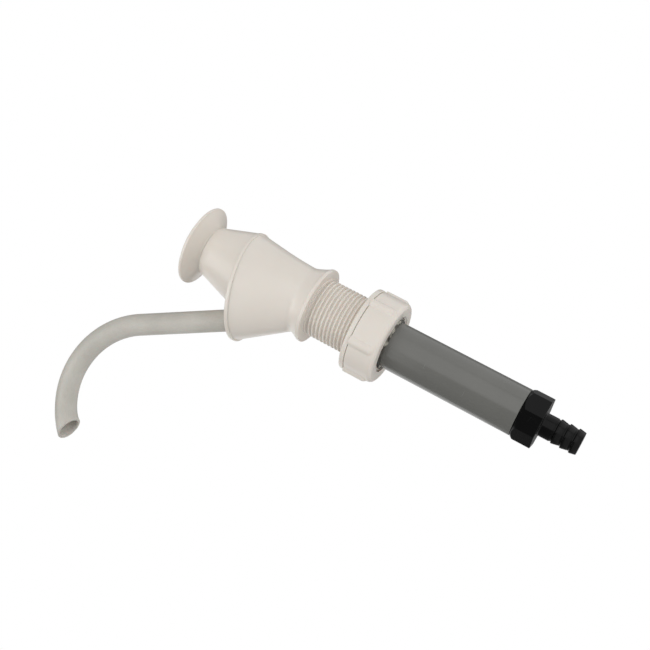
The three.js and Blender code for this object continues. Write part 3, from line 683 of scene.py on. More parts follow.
def leaning(x: float, z: float, degrees: float) -> Matrix:
    """Matrix, in metres, of a turn about Y and a move given in millimetres."""
    return Matrix.Translation((x * MM, 0.0, z * MM)) @ Matrix.Rotation(math.radians(degrees), 4, "Y")


# ------------------------------------------------------------------ geometry nodes


class Builder(Graph):
    """Geometry tree whose inputs are sizes, run once on a piece and then removed."""

    def __init__(self, label: str) -> None:
        """Makes the tree with its geometry input and output.

        Args:
            label: The tree's name.
        """
        super().__init__(bpy.data.node_groups.new(label, "GeometryNodeTree"))
        for way in ("INPUT", "OUTPUT"):
            self.tree.interface.new_socket(
                name="Geometry", in_out=way, socket_type="NodeSocketGeometry")
        self.entry = self.tree.nodes.new("NodeGroupInput")
        self.sizes: dict[str, object] = {}

    def size(self, name: str, value: float) -> Value:
        """Adds a named size as an input.

        Args:
            name: The input's name.
            value: Its value: a count, an angle in radians, or a length in metres.

        Returns:
            The input as a value.
        """
        kind = "NodeSocketInt" if isinstance(value, int) else "NodeSocketFloat"
        self.tree.interface.new_socket(name=name, in_out="INPUT", socket_type=kind)
        self.sizes[name] = value
        return Value(self, self.entry.outputs[name])

    def moved_out(self, reach: Value) -> Value:
        """The geometry with each point moved away from the Z axis.

        Args:
            reach: How far each point moves, in metres.

        Returns:
            The moved geometry.
        """
        level = self.stretched(self.place(), (1.0, 1.0, 0.0))
        away = self.node("ShaderNodeVectorMath", {"operation": "NORMALIZE"}, {0: level})
        return self.pushed(self.out(away), reach)

    def pushed(self, way: Value, reach: Value) -> Value:
        """The geometry with each point moved.

        Args:
            way: Direction of each point's move.
            reach: How far it moves, in metres.

        Returns:
            The moved geometry.
        """
        step = self.node("ShaderNodeVectorMath", {"operation": "SCALE"}, {0: way, "Scale": reach})
        shift = self.node(
            "GeometryNodeSetPosition", None,
            {"Geometry": self.entry.outputs["Geometry"], "Offset": step.outputs[0]})
        return self.out(shift, "Geometry")

    def place(self) -> Value:
        """Position of each point, in metres."""
        return self.out(self.node("GeometryNodeInputPosition"))

    def polar(self) -> tuple[Value, Value, Value]:
        """Distance from the Z axis, angle round it and height of each point.

        Returns:
            The three values, in metres and radians.
        """
        parts = self.node("ShaderNodeSeparateXYZ", None, {0: self.place()})
        x, y, z = (self.out(parts, i) for i in range(3))
        return (x * x + y * y).root(), self.math("ARCTAN2", y, x), z

    def run(self, piece: bpy.types.Object, shape: Value, finish: Finish) -> None:
        """Ends the tree, applies it to a piece as a plain mesh and removes it.

        Args:
            piece: The piece that is given the result.
            shape: The geometry to keep.
            finish: The finish that it is given.
        """
        self.tree.interface.new_socket(
            name="Finish", in_out="INPUT", socket_type="NodeSocketMaterial")
        self.sizes["Finish"] = finish.material()
        real = self.node("GeometryNodeRealizeInstances", None, {"Geometry": shape})
        dressed = self.node(
            "GeometryNodeSetMaterial", None,
            {"Geometry": real.outputs["Geometry"], "Material": self.entry.outputs["Finish"]})
        self.node("NodeGroupOutput", None, {"Geometry": dressed.outputs["Geometry"]})
        tool = piece.modifiers.new(self.tree.name, "NODES")
        tool.node_group = self.tree
        for item in self.tree.interface.items_tree:
            if item.in_out == "INPUT" and item.name in self.sizes:
                tool[item.identifier] = self.sizes[item.name]
        with_modifiers_applied(piece)
        bpy.data.node_groups.remove(self.tree)


@dataclass(frozen=True)
class PipeThread:
    """Right-hand pipe thread with rounded crests and roots, in millimetres.

    Attributes:
        pitch: Rise in one turn.
        depth: Height of the crests over the roots.
        run_out: Length over which the thread fades at each end.
        flank: Share of the wave at which a flank leaves the root and reaches the crest.
        slack: How far inside the root a point may stand and still be moved.
    """

    pitch: float = 2.309
    depth: float = 1.3
    run_out: float = 1.6
    flank: Point = (0.08, 0.86)
    slack: float = 0.1

    def cut(
        self, piece: bpy.types.Object, low: float, high: float, root: float, reach: float,
        finish: Finish,
    ) -> None:
        """Raises the thread on a smooth stretch of a piece, or sinks it into a bore.

        Args:
            piece: The piece.
            low: Lower end of the thread.
            high: Upper end of the thread.
            root: Radius at the foot of the thread.
            reach: How far past the root a point may stand and still be moved.
            finish: The piece's finish.
        """
        tree = Builder("pipe thread")
        pitch = tree.size("Pitch", self.pitch * MM)
        depth = tree.size("Depth", self.depth * MM)
        bottom, top = tree.size("Low", low * MM), tree.size("High", high * MM)
        foot = tree.size("Root", root * MM)
        near = tree.size("Inside", (root - self.slack) * MM)
        far = tree.size("Outside", (root + reach) * MM)
        radius, angle, z = tree.polar()
        turns = z / pitch - angle / (2 * math.pi)
        wave = 0.5 - (turns * (2 * math.pi)).cosine() * 0.5
        crest = wave.eased(*self.flank)
        fade = self.run_out * MM
        fade_low = ((z - bottom) / fade).largest(0.0).smallest(1.0)
        fade_high = ((top - z) / fade).largest(0.0).smallest(1.0)
        kept = (radius > near) * (radius < far)
        wanted = foot + crest * fade_low * fade_high * depth
        tree.run(piece, tree.moved_out((wanted - radius).largest(0.0) * kept), finish)
        log.info("thread cut on %s", piece.name)


@dataclass(frozen=True)
class GripRibs:
    """Half-round ribs along Z round a nut, each with a ball end, in millimetres.

    Attributes:
        count: Number of ribs.
        radius: Radius of a rib.
        proud: How far a rib stands out of the nut.
        turn: Angle of the first rib, in degrees.
        blend: Width of the soft change between a rib and the nut.
        edge: Share of the nut's radius inside which nothing is moved.
    """

    count: int = 6
    radius: float = 3.0
    proud: float = 1.5
    turn: float = 69.0
    blend: float = 0.6
    edge: float = 0.86

    def raised(self, piece: bpy.types.Object, body: float, foot: float, finish: Finish) -> None:
        """Raises the ribs on the outside of a nut.

        Args:
            piece: The nut.
            body: Its radius between the ribs.
            foot: Height of the ribs' lower ends.
            finish: Its finish.
        """
        tree = Builder("grip ribs")
        count = tree.size("Count", self.count)
        rib = tree.size("Rib radius", self.radius * MM)
        axis = tree.size("Axis", (body + self.proud - self.radius) * MM)
        turn, low = tree.size("Turn", math.radians(self.turn)), tree.size("Foot", foot * MM)
        blend, edge = tree.size("Blend", self.blend * MM), tree.size("Edge", self.edge * body * MM)
        radius, angle, z = tree.polar()
        share = (angle - turn) * count / (2 * math.pi)
        nearest = (share - tree.math("ROUND", share)) * (2 * math.pi) / count
        end = (low + rib - z).largest(0.0)
        round_end = (rib * rib - end * end).largest(0.0).root()
        across = axis * nearest.sine()
        reach = axis * nearest.cosine() + (round_end * round_end - across * across).largest(0.0).root()
        gap = ((blend - tree.math("ABSOLUTE", radius - reach)) / blend).largest(0.0)
        wanted = radius.largest(reach) + gap * gap * blend * 0.25
        tree.run(piece, tree.moved_out((wanted - radius) * (radius > edge) * (z > low)), finish)
        log.info("%d grip ribs raised on %s", self.count, piece.name)


@dataclass(frozen=True)
class PortRing:
    """Round ports on a circle about Z, cut through a disc, in millimetres.

    Attributes:
        count: Number of ports.
        circle: Radius of the circle that they lie on.
        radius: Radius of a port.
        sides: Sides of a port's outline.
    """

    count: int
    circle: float
    radius: float
    sides: int = 32

    def cut(self, piece: bpy.types.Object, low: float, high: float, finish: Finish) -> None:
        """Cuts the ports.

        Args:
            piece: The disc.
            low: Height below its lower face.
            high: Height above its upper face.
            finish: Its finish.
        """
        tree = Builder("port ring")
        count, circle = tree.size("Ports", self.count), tree.size("Circle", self.circle * MM)
        radius = tree.size("Port radius", self.radius * MM)
        depth = tree.size("Depth", (high - low) * MM)
        middle = tree.size("Middle", 0.5 * (low + high) * MM)
        spots = tree.node("GeometryNodeMeshCircle", None, {"Vertices": count, "Radius": circle})
        drill = tree.node(
            "GeometryNodeMeshCylinder", None,
            {"Vertices": self.sides, "Radius": radius, "Depth": depth})
        drills = tree.node(
            "GeometryNodeInstanceOnPoints", None,
            {"Points": spots.outputs["Mesh"], "Instance": drill.outputs["Mesh"]})
        height = tree.node("ShaderNodeCombineXYZ", None, {"Z": middle})
        placed = tree.node(
            "GeometryNodeTransform", None,
            {"Geometry": drills.outputs["Instances"], "Translation": height.outputs[0]})
        solid = tree.node("GeometryNodeRealizeInstances", None, {"Geometry": placed.outputs["Geometry"]})
        drilled = tree.node(
            "GeometryNodeMeshBoolean", {"operation": "DIFFERENCE", "solver": "EXACT"},
            {"Mesh 1": tree.entry.outputs["Geometry"], "Mesh 2": solid.outputs["Geometry"]})
        tree.run(piece, tree.out(drilled, "Mesh"), finish)
        log.info("%d ports cut in %s", self.count, piece.name)


@dataclass(frozen=True)
class CementLumps:
    """Uneven run of a cement bead.

    Attributes:
        height: Height of the largest lumps, in millimetres.
        wave: Lumps per metre.
        seed: Which lumps are drawn.
        swell: Pattern height at which a lump begins and is full.
    """

    height: float = 0.7
    wave: float = LUMP_WAVE
    seed: float = LUMP_SEED
    swell: Point = (0.45, 0.72)

    def spread(self, piece: bpy.types.Object, finish: Finish) -> None:
        """Swells the bead in lumps, the same ones each time.

        Args:
            piece: The bead.
            finish: Its finish.
        """
        tree = Builder("cement lumps")
        height, wave = tree.size("Height", self.height * MM), tree.size("Wave", self.wave)
        seed = tree.size("Seed", self.seed)
        swell = tree.lumps(tree.place(), wave, seed).eased(*self.swell)
        normal = tree.out(tree.node("GeometryNodeInputNormal"))
        tree.run(piece, tree.pushed(normal, swell * height), finish)
        log.info("lumps raised on %s", piece.name)


# ------------------------------------------------------------------ frame measures


def height_of(node: str) -> tuple[float, float]:
    """Lowest and highest Z of a CAD node at rest, in millimetres."""
    low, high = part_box(node)
    return low[2] / MM, high[2] / MM


def radius_of(node: str) -> float:
    """Radius of a round CAD node about Z, in millimetres."""
    low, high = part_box(node)
    return 0.5 * max(high[0] - low[0], high[1] - low[1]) / MM


def fitted(
    piece: bpy.types.Object, body: str, node: str, finish: Finish, crease: float = CREASE
) -> None:
    """Dresses a finished piece and hangs it on the frame.

    Args:
        piece: The piece.
        body: The CAD body that it moves with.
        node: The CAD node that it stands for.
        finish: Its finish.
        crease: Angle, in degrees, past which an edge stays sharp.
    """
    piece.data.materials.clear()
    piece.data.materials.append(finish.material())
    softened(piece, crease)
    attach(piece, body)
    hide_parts(node)
    log.info("%s: %d faces on %s", piece.name, len(piece.data.polygons), body)


# ------------------------------------------------------------------ head


@dataclass
class Head:
    """Leaning funnel head with its neck, flange and threaded stem, and the cover on top.

    The funnel runs between two tilted circles, its foot and its rim, whose centres lie in the XZ plane.
    """

    rim_radius: float = 31.0
    rim_x: float = 8.9
    rim_z: float = 42.2
    rim_tilt: float = 12.1
    foot_radius: float = 18.35
    foot_x: float = 1.35
    foot_z: float = 10.1
    foot_tilt: float = 5.9
    wall: float = 3.0
    neck_radius: float = 17.7
    neck_height: float = 12.0
    neck_blend: float = 1.6
    flare_radius: float = 21.5
    flare_power: float = 1.35
    flange_radius: float = 21.8
    flange_height: float = 2.1
    collar_height: float = 0.7
    collar_proud: float = 0.08
    thread_radius: float = 16.62
    stem_length: float = 45.0
    socket_radius: float = 13.65
    socket_depth: float = 37.0
    throat_radius: float = 9.0
    chamber_floor: float = 5.0
    cover_height: float = 2.0
    seam: float = 0.01
    gland_top_radius: float = 14.2
    gland_base_radius: float = 21.2
    gland_base_z: float = 48.7
    gland_top_z: float = 70.4
    gland_bore: float = 9.2
    gland_wall: float = 2.6
    shoulder: float = 4.0
    cover_edge: float = 0.7
    cover_foot_edge: float = 0.06
    cover_lip: float = 5.0
    ledge_height: float = 3.0
    columns: int = 144
    funnel_rows: int = 64
    inner_rows: int = 14
    cone_rows: int = 22
    stem_step: float = 0.155
    thread: PipeThread = PipeThread()

    def circle(self, radius: float, x: float, z: float, tilt: float, angles: np.ndarray) -> np.ndarray:
        """Points of a tilted circle whose centre lies in the XZ plane.

        Args:
            radius: Its radius.
            x: X of its centre.
            z: Z of its centre.
            tilt: Its turn about Y, in degrees.
            angles: Angle of each point.

        Returns:
            One point for each angle.
        """
        lean = math.radians(tilt)
        across = radius * np.cos(angles)
        return np.column_stack([
            x + across * math.cos(lean), radius * np.sin(angles), z - across * math.sin(lean)])

    def below_rim(self, points: np.ndarray) -> np.ndarray:
        """Depth of points below the rim's plane.

        Args:
            points: The points.

        Returns:
            One depth for each point.
        """
        lean = math.radians(self.rim_tilt)
        along, up = points[:, 0] - self.rim_x, points[:, 2] - self.rim_z
        return -(along * math.sin(lean) + up * math.cos(lean))

    def foot_at(self, drawn_in: float, angles: np.ndarray) -> np.ndarray:
        """Points of the funnel's lower circle."""
        radius = self.foot_radius - drawn_in
        return self.circle(radius, self.foot_x, self.foot_z, self.foot_tilt, angles)

    def rim_at(self, drawn_in: float, angles: np.ndarray) -> np.ndarray:
        """Points of the funnel's upper circle."""
        radius = self.rim_radius - drawn_in
        return self.circle(radius, self.rim_x, self.rim_z, self.rim_tilt, angles)

    def funnel_at(
        self, share: np.ndarray | float, drawn_in: float, angles: np.ndarray
    ) -> np.ndarray:
        """Points of the funnel between its foot (share 0) and its rim (share 1).

        Args:
            share: Share of the way up, one for all points or one for each.
            drawn_in: How far the points lie inside the outside skin.
            angles: Angle of each point.

        Returns:
            One point for each angle.
        """
        foot, rim = self.foot_at(drawn_in, angles), self.rim_at(drawn_in, angles)
        share = np.broadcast_to(share, (len(angles),))[:, None]
        return (1 - share) * foot + share * rim

    def share_at_depth(self, depth: float, drawn_in: float, angles: np.ndarray) -> np.ndarray:
        """Share of the funnel's height that lies a depth below the rim's plane."""
        return 1 - depth / self.below_rim(self.foot_at(drawn_in, angles))

    def funnel_below(self, depth: float, drawn_in: float, angles: np.ndarray) -> np.ndarray:
        """Points of the funnel at a depth below the rim's plane."""
        return self.funnel_at(self.share_at_depth(depth, drawn_in, angles), drawn_in, angles)

    def share_at_height(self, z: float, angles: np.ndarray) -> np.ndarray:
        """Share of the funnel's height at which its outside reaches a level."""
        foot, rim = self.foot_at(0.0, angles)[:, 2], self.rim_at(0.0, angles)[:, 2]
        return (z - foot) / (rim - foot)

    def neck_at(self, z: np.ndarray) -> np.ndarray:
        """Radius of the flared neck at a height.

        Args:
            z: The heights.

        Returns:
            One radius for each height.
        """
        up = np.clip((z - self.flange_height) / (self.neck_height - self.flange_height), 0.0, 1.0)
        flare = self.flare_radius - self.neck_radius
        return self.neck_radius + flare * (1 - up) ** self.flare_power

    def body_rows(self) -> Rows:
        """Rows of the body's skin: out over the funnel and down the stem, then up inside.

        Returns:
            The rows, whose last joins the first.
        """
        angles = even_angles(self.columns)
        seam = self.cover_height + self.seam
        rows: Rows = []
        for drawn_in, drop in ((1.1, 0.0), (0.10, 0.0), (0.03, 0.03), (0.0, 0.1)):
            rows.append(self.funnel_below(seam + drop, drawn_in, angles))
        top = self.share_at_depth(seam + 0.9, 0.0, angles)
        low = self.share_at_height(self.flange_height, angles)
        for down in np.linspace(0.0, 1.0, self.funnel_rows):
            row = self.funnel_at(top + (low - top) * down ** 0.8, 0.0, angles)
            reach = np.hypot(row[:, 0], row[:, 1])
            wide = smooth_larger(reach, self.neck_at(row[:, 2]), self.neck_blend)
            row[:, :2] *= (wide / reach)[:, None]
            rows.append(row)
        around = np.arctan2(rows[-1][:, 1], rows[-1][:, 0])
        root = self.thread_radius - self.thread.depth
        collar = self.thread_radius + self.collar_proud
        collar_foot = -self.collar_height - 0.5
        flange = rounded([
            (self.flare_radius, self.flange_height, 0.0),
            (self.flange_radius, self.flange_height - 0.3, 0.35),
            (self.flange_radius, 0.0, 0.3),
            (collar, 0.0, 0.12),
            (collar, -self.collar_height, 0.15),
            (root, collar_foot, 0.0),
        ], 5)[1:-1]
        end = -self.stem_length
        stem = [(root, z) for z in evenly(collar_foot, end + 0.6, self.stem_step)]
        mouth = rounded([
            (root, end + 1.0, 0.0),
            (root, end, 0.5),
            (self.socket_radius, end, 0.4),
            (self.socket_radius, end + self.socket_depth, 0.3),
            (self.throat_radius, end + self.socket_depth, 0.4),
            (self.throat_radius, self.chamber_floor, 0.5),
            (self.throat_radius + 3.0, self.chamber_floor, 0.0),
        ], 4)[1:]
        rows += spun(flange + stem + mouth, around)
        floor = self.share_at_height(self.chamber_floor + 1.0, angles)
        roof = self.share_at_depth(seam, self.wall, angles)
        for up in np.linspace(0.0, 1.0, self.inner_rows):
            rows.append(self.funnel_at(floor + (roof - floor) * up, self.wall, angles))
        return rows

    def build_body(self) -> None:
        """Makes and dresses the body, with the thread on its stem."""
        piece = mesh_from_rows("pump_body_moulding", self.body_rows(), closed=True)
        root = self.thread_radius - self.thread.depth
        self.thread.cut(piece, -self.stem_length, -self.collar_height, root, 0.1, IVORY)
        fitted(piece, "housing", "pump_body", IVORY, 40.0)

    def gland_radius(self, z: np.ndarray | float) -> np.ndarray | float:
        """Radius of the gland cone at a height.

        Args:
            z: The height or heights.

        Returns:
            The radius or radii.
        """
        widening = self.gland_base_radius - self.gland_top_radius
        slope = widening / (self.gland_top_z - self.gland_base_z)
        return self.gland_top_radius + slope * (self.gland_top_z - z)

    def rim_plane_z(self, x: np.ndarray | float) -> np.ndarray | float:
        """Height of the rim's plane over a distance along X."""
        return self.rim_z - (x - self.rim_x) * math.tan(math.radians(self.rim_tilt))

    def cone_foot(self, angles: np.ndarray) -> np.ndarray:
        """Heights at which the gland cone meets the cover's plane.

        Args:
            angles: Angle of each point.

        Returns:
            One height for each angle, found by repetition.
        """
        z = np.full(len(angles), self.rim_z)
        for _ in range(40):
            z = self.rim_plane_z(self.gland_radius(z) * np.cos(angles))
        return z

    def cover_rows(self, rod_hole: float, ledge_z: float, floor_z: float) -> Rows:
        """Rows of the cover's skin.

        Args:
            rod_hole: Radius of the hole for the rod.
            ledge_z: Height of the ledge that the gland's washer sits on.
            floor_z: Height of the ledge's underside.

        Returns:
            The rows, from the gland's mouth out over the rim and back inside.
        """
        angles = even_angles(self.columns)
        shoulder_z = self.gland_top_z - self.shoulder
        rows = spun(rounded([
            (self.gland_bore, ledge_z, 0.2),
            (self.gland_bore, self.gland_top_z, 0.35),
            (self.gland_top_radius, self.gland_top_z, 0.9),
            (float(self.gland_radius(shoulder_z)), shoulder_z, 0.0),
        ], 6)[1:-1], angles)
        foot_z = self.cone_foot(angles)
        margin = self.cover_edge + 0.1
        for share in np.linspace(0.0, 1.0, self.cone_rows):
            z = shoulder_z * (1 - share) + foot_z * share
            rows.append(self.kept_inside(loop_at(self.gland_radius(z), z, angles), margin))
        rows += self.top_rows(rows[-1], self.rim_at(margin, angles))
        for drawn_in, depth in self.rim_edge():
            rows.append(self.disc_row(drawn_in, depth, angles))
        wall, lip = self.wall + self.seam, self.cover_lip
        rows.append(self.disc_row(wall + 0.4, self.cover_height, angles))
        rows.append(self.funnel_below(self.cover_height + 0.3, wall, angles))
        for depth, inset in ((lip - 0.4, 0.0), (lip, 0.4), (lip, 1.3), (lip - 0.4, 1.6), (2.4, 1.7)):
            rows.append(self.funnel_below(depth, wall + inset, angles))
        inner_foot = loop_at(
            self.gland_radius(foot_z) - self.gland_wall, foot_z - self.cover_height, angles)
        rows.append(self.kept_inside(inner_foot, wall + 2.0))
        top = loop_at(self.gland_radius(floor_z) - self.gland_wall, floor_z, angles)
        for share in (0.25, 0.5, 0.75):
            rows.append(rows[-1] * (1 - share) + top * share)
        rows.append(top)
        rows += spun(rounded([
            (rod_hole + 1.0, floor_z, 0.0),
            (rod_hole, floor_z, 0.3),
            (rod_hole, ledge_z, 0.3),
            (self.gland_bore - 0.4, ledge_z, 0.0),
        ], 3), angles)
        return rows

    def top_rows(self, cone: np.ndarray, bound: np.ndarray) -> Rows:
        """Rows of the cover's flat top, from the gland cone to its edge, with a soft corner at the cone.

        Args:
            cone: The cone's last row.
            bound: Where the edge begins.

        Returns:
            The rows.
        """
        rows: Rows = []
        for share in (0.04, 0.1, 0.22, 0.5, 0.8, 1.0):
            row = cone * (1 - share) + bound * share
            lift = 0.18 * (1 - share) ** 6
            row[:, 2] = np.maximum(row[:, 2], self.rim_plane_z(row[:, 0]) + lift)
            rows.append(row)
        return rows

    def rim_edge(self) -> list[Point]:
        """Draw-in and depth of the points round the cover's edge.

        Returns:
            The points, from the top round to the underside.
        """
        turn = [math.radians(a) for a in (22.5, 45, 67.5, 90)]
        edge, low, foot = self.cover_edge, self.cover_foot_edge, self.cover_height
        upper = [(edge - edge * math.sin(a), edge - edge * math.cos(a)) for a in turn]
        lower = [
            (low - low * math.cos(a), foot - low + low * math.sin(a)) for a in [0.0, *turn]]
        return [(edge, 0.0), *upper, *lower]

    def disc_row(self, drawn_in: float, depth: float, angles: np.ndarray) -> np.ndarray:
        """Points of a circle below the rim's plane, drawn in from the rim.

        Args:
            drawn_in: How far inside the rim it lies.
            depth: How far below the plane it lies.
            angles: Angle of each point.

        Returns:
            One point for each angle.
        """
        lean = math.radians(self.rim_tilt)
        down = np.array([math.sin(lean), 0.0, math.cos(lean)])
        return self.rim_at(drawn_in, angles) - depth * down

    def kept_inside(self, row: np.ndarray, margin: float) -> np.ndarray:
        """A row with no point nearer the rim's edge than a margin, moved along the rim's plane.

        Args:
            row: The points.
            margin: The least distance from the rim's edge.

        Returns:
            The row, with points too near the edge moved in.
        """
        lean = math.radians(self.rim_tilt)
        across = (row[:, 0] - self.rim_x) / math.cos(lean)
        reach = np.hypot(across, row[:, 1])
        limit = self.rim_radius - margin
        share = np.minimum(1.0, limit / np.maximum(reach, TINY))
        moved = row.copy()
        moved[:, 0] = self.rim_x + across * share * math.cos(lean)
        moved[:, 1] = row[:, 1] * share
        return moved

    def build_cover(self, spout: "Spout", rod_hole: float) -> None:
        """Makes and dresses the cover, with the spout's socket.

        Args:
            spout: The spout that the socket takes.
            rod_hole: Radius of the hole for the rod.
        """
        ledge_z = height_of("gland_washer")[0] - 0.3
        rows = self.cover_rows(rod_hole, ledge_z, ledge_z - self.ledge_height)
        piece = mesh_from_rows("head_cover_moulding", rows, closed=True)
        worked(piece, spout.socket_boss(self), Work.JOIN)
        worked(piece, spout.socket_bore(self), Work.CUT)
        fitted(piece, "housing", "head_cover", IVORY, 38.0)


# ------------------------------------------------------------------ spout


@dataclass
class Spout:
    """Gooseneck tube with a slanting mouth.

    The straight run leans by lean degrees, and the bend goes on through bend_angle. The mouth is cut by
    a plane that is turned by cut_angle past square, and by cut_side_lean to the side.
    """

    radius: float = 6.25
    wall: float = 1.35
    root_x: float = 27.8
    lean: float = 29.7
    straight: float = 58.3
    bend_radius: float = 45.4
    bend_angle: float = 110.0
    cut_angle: float = 25.0
    cut_side_lean: float = 12.0
    insert: float = 4.4
    socket_wall: float = 2.4
    socket_height: float = 4.0
    clearance: float = 0.3
    seal_width: float = 1.1
    seal_pocket: float = 1.9
    flare: float = 0.07
    flare_turn: float = 24.0
    lip: float = 0.12
    lip_share: float = 0.07
    columns: int = 72
    straight_rows: int = 24
    bend_rows: int = 90

    def axes(self) -> tuple[np.ndarray, np.ndarray]:
        """Directions along the straight run and across it, towards the bend's centre.

        Returns:
            The two unit vectors.
        """
        lean = math.radians(self.lean)
        along = np.array([math.sin(lean), 0.0, math.cos(lean)])
        return along, np.array([math.cos(lean), 0.0, -math.sin(lean)])

    def root(self, head: Head) -> np.ndarray:
        """Point where the spout's axis meets the cover's top."""
        return np.array([self.root_x, 0.0, float(head.rim_plane_z(self.root_x))])

    def centre(self, head: Head) -> np.ndarray:
        """Centre of the bend."""
        along, across = self.axes()
        return self.root(head) + along * self.straight + across * self.bend_radius

    def seated(self, piece: bpy.types.Object, head: Head) -> bpy.types.Object:
        """A part made about Z, moved and leaned to where the spout stands.

        Args:
            piece: The part.
            head: The head that the spout stands on.

        Returns:
            The same part.
        """
        x, _, z = self.root(head)
        piece.data.transform(leaning(x, z, self.lean))
        return piece

    def bend_point(
        self, head: Head, turn: np.ndarray, out: np.ndarray, side: np.ndarray
    ) -> np.ndarray:
        """Points on the bend.

        Args:
            head: The head that the spout stands on.
            turn: Angle along the bend, in radians.
            out: Distance from the middle line, away from the bend's centre.
            side: Distance from the middle line along Y.

        Returns:
            One point for each angle.
        """
        along, across = self.axes()
        reach = self.bend_radius + out
        spoke = -across[None] * np.cos(turn)[:, None] + along[None] * np.sin(turn)[:, None]
        return self.centre(head) + spoke * reach[:, None] + SIDEWAYS * side[:, None]

    def wall_rows(self, head: Head, radius: float) -> Rows:
        """Rows of one wall of the tube, from the socket to the slanting cut.

        Args:
            head: The head that the spout stands on.
            radius: Radius of the wall.

        Returns:
            The rows.
        """
        along, across = self.axes()
        root = self.root(head)
        angles = even_angles(self.columns)
        out, side = radius * np.cos(angles), radius * np.sin(angles)
        rows: Rows = []
        for run in np.linspace(-self.insert, self.straight, self.straight_rows):
            middle = root + along * run
            rows.append(middle - across[None] * out[:, None] + SIDEWAYS * side[:, None])
        ends = self.cut_turns(head, out, side)
        for share in np.linspace(0.0, 1.0, self.bend_rows + 1)[1:]:
            turn = ends * share
            swell = self.swell_at(turn)
            near = np.clip((share - 1 + self.lip_share) / self.lip_share, 0.0, 1.0)
            lip = np.where(out < 0, 1 + self.lip * near**2, 1.0)
            rows.append(self.bend_point(head, turn, out * swell * lip, side * (0.5 + 0.5 * swell)))
        return rows

    def swell_at(self, turn: np.ndarray) -> np.ndarray:
        """How much wider the tube is towards its mouth.

        Args:
            turn: Angle along the bend, in radians.

        Returns:
            The factor at each angle, from 1 up.
        """
        start, length = math.radians(self.bend_angle - self.flare_turn), math.radians(self.flare_turn)
        near = np.clip((turn - start) / length, 0.0, 1.0)
        return 1 + self.flare * near**2 * (3 - 2 * near)

    def cut_turns(self, head: Head, out: np.ndarray, side: np.ndarray) -> np.ndarray:
        """Angle along the bend at which each column of a wall reaches the slanting cut.

        Args:
            head: The head that the spout stands on.
            out: Distance of each column from the middle line, away from the bend's centre.
            side: Distance of each column from the middle line along Y.

        Returns:
            The angles, in radians, found by halving.
        """
        end = math.radians(self.bend_angle)
        outermost = np.array([end]), np.array([self.radius]), np.array([0.0])
        longest = self.bend_point(head, *outermost)[0]
        knife = math.radians(self.lean + self.bend_angle + self.cut_angle)
        aside = math.radians(self.cut_side_lean)
        level = math.cos(aside)
        normal = np.array([math.sin(knife) * level, math.sin(aside), math.cos(knife) * level])
        low, high = np.zeros(len(out)), np.full(len(out), end + 0.3)
        for _ in range(40):
            middle = 0.5 * (low + high)
            past = (self.bend_point(head, middle, out, side) - longest) @ normal > 0
            low, high = np.where(past, low, middle), np.where(past, middle, high)
        return low

    def build(self, head: Head) -> None:
        """Makes and dresses the tube, with a UV map along it.

        Args:
            head: The head that the spout stands on.
        """
        outer = self.wall_rows(head, self.radius)
        inner = self.wall_rows(head, self.radius - self.wall)
        lip_out, lip_in = (outer[-1] * (1 - t) + inner[-1] * t for t in (0.2, 0.8))
        softened_edge = outer[-1] * 0.65 + outer[-2] * 0.35
        rows = [*outer[:-1], softened_edge, lip_out, lip_in, *reversed(inner[:-1])]
        piece = mesh_from_rows("spout_tubing", rows, closed=True)
        self.map_along(piece, head)
        fitted(piece, "housing", "spout_tube", SPOUT_GREY, 50.0)

    def map_along(self, piece: bpy.types.Object, head: Head) -> None:
        """Writes a UV map whose U runs round the tube and V along it, in tube diameters.

        Args:
            piece: The tube.
            head: The head that the spout stands on.
        """
        along, across = self.axes()
        root, mesh = self.root(head), piece.data
        points = np.empty(len(mesh.vertices) * 3)
        mesh.vertices.foreach_get("co", points)
        points = points.reshape(-1, 3) / MM
        run = (points - root) @ along
        spoke = points - self.centre(head)
        turn = np.arctan2(spoke @ along, -(spoke @ across))
        bent = run > self.straight
        distance = np.where(bent, self.straight + turn * self.bend_radius, run)
        bent_out = np.hypot(spoke[:, 0], spoke[:, 2]) - self.bend_radius
        out = np.where(bent, bent_out, -((points - root) @ across))
        around = np.arctan2(points[:, 1], out) / (2 * math.pi)
        layer = mesh.uv_layers.new(name=TUBE_MAP)
        corner = np.empty(len(mesh.loops), dtype=np.int32)
        mesh.loops.foreach_get("vertex_index", corner)
        uv = np.column_stack([np.abs(around[corner]) * 2, distance[corner] / (2 * self.radius)])
        layer.data.foreach_set("uv", uv.ravel())

    def socket_boss(self, head: Head) -> bpy.types.Object:
        """Collar on the cover that holds the spout, flared where it meets the cover.

        Args:
            head: The head that the spout stands on.

        Returns:
            The collar, as a closed piece to be joined.
        """
        outer = self.radius + self.clearance + self.socket_wall
        boss = turned("socket", [
            (0.0, -1.6, 0.0),
            (outer, -1.6, 0.0),
            *arc((outer + 1.3, -0.6), (outer + 0.1, 0.4), (outer, 2.4), 6),
            (outer, self.socket_height, 0.5),
            (0.0, self.socket_height, 0.0),
        ], self.columns)
        return self.seated(boss, head)

    def socket_bore(self, head: Head) -> bpy.types.Object:
        """Bore of the socket, with room for its seal at the mouth.

        Args:
            head: The head that the spout stands on.

        Returns:
            The bore, as a closed piece to be cut away.
        """
        channel, bore = self.radius - self.wall, self.radius + self.clearance
        step, pocket = -self.insert - self.clearance, self.socket_height - self.seal_pocket
        below, above = -12.0, self.socket_height + 2.0
        drill = turned("socket_drill", [
            (0.0, below, 0.0), (channel, below, 0.0), (channel, step, 0.0), (bore, step, 0.0),
            (bore, pocket, 0.0), (bore + self.seal_width, pocket, 0.0),
            (bore + self.seal_width, above, 0.0), (0.0, above, 0.0),
        ], self.columns)
        return self.seated(drill, head)


# ------------------------------------------------------------------ plunger


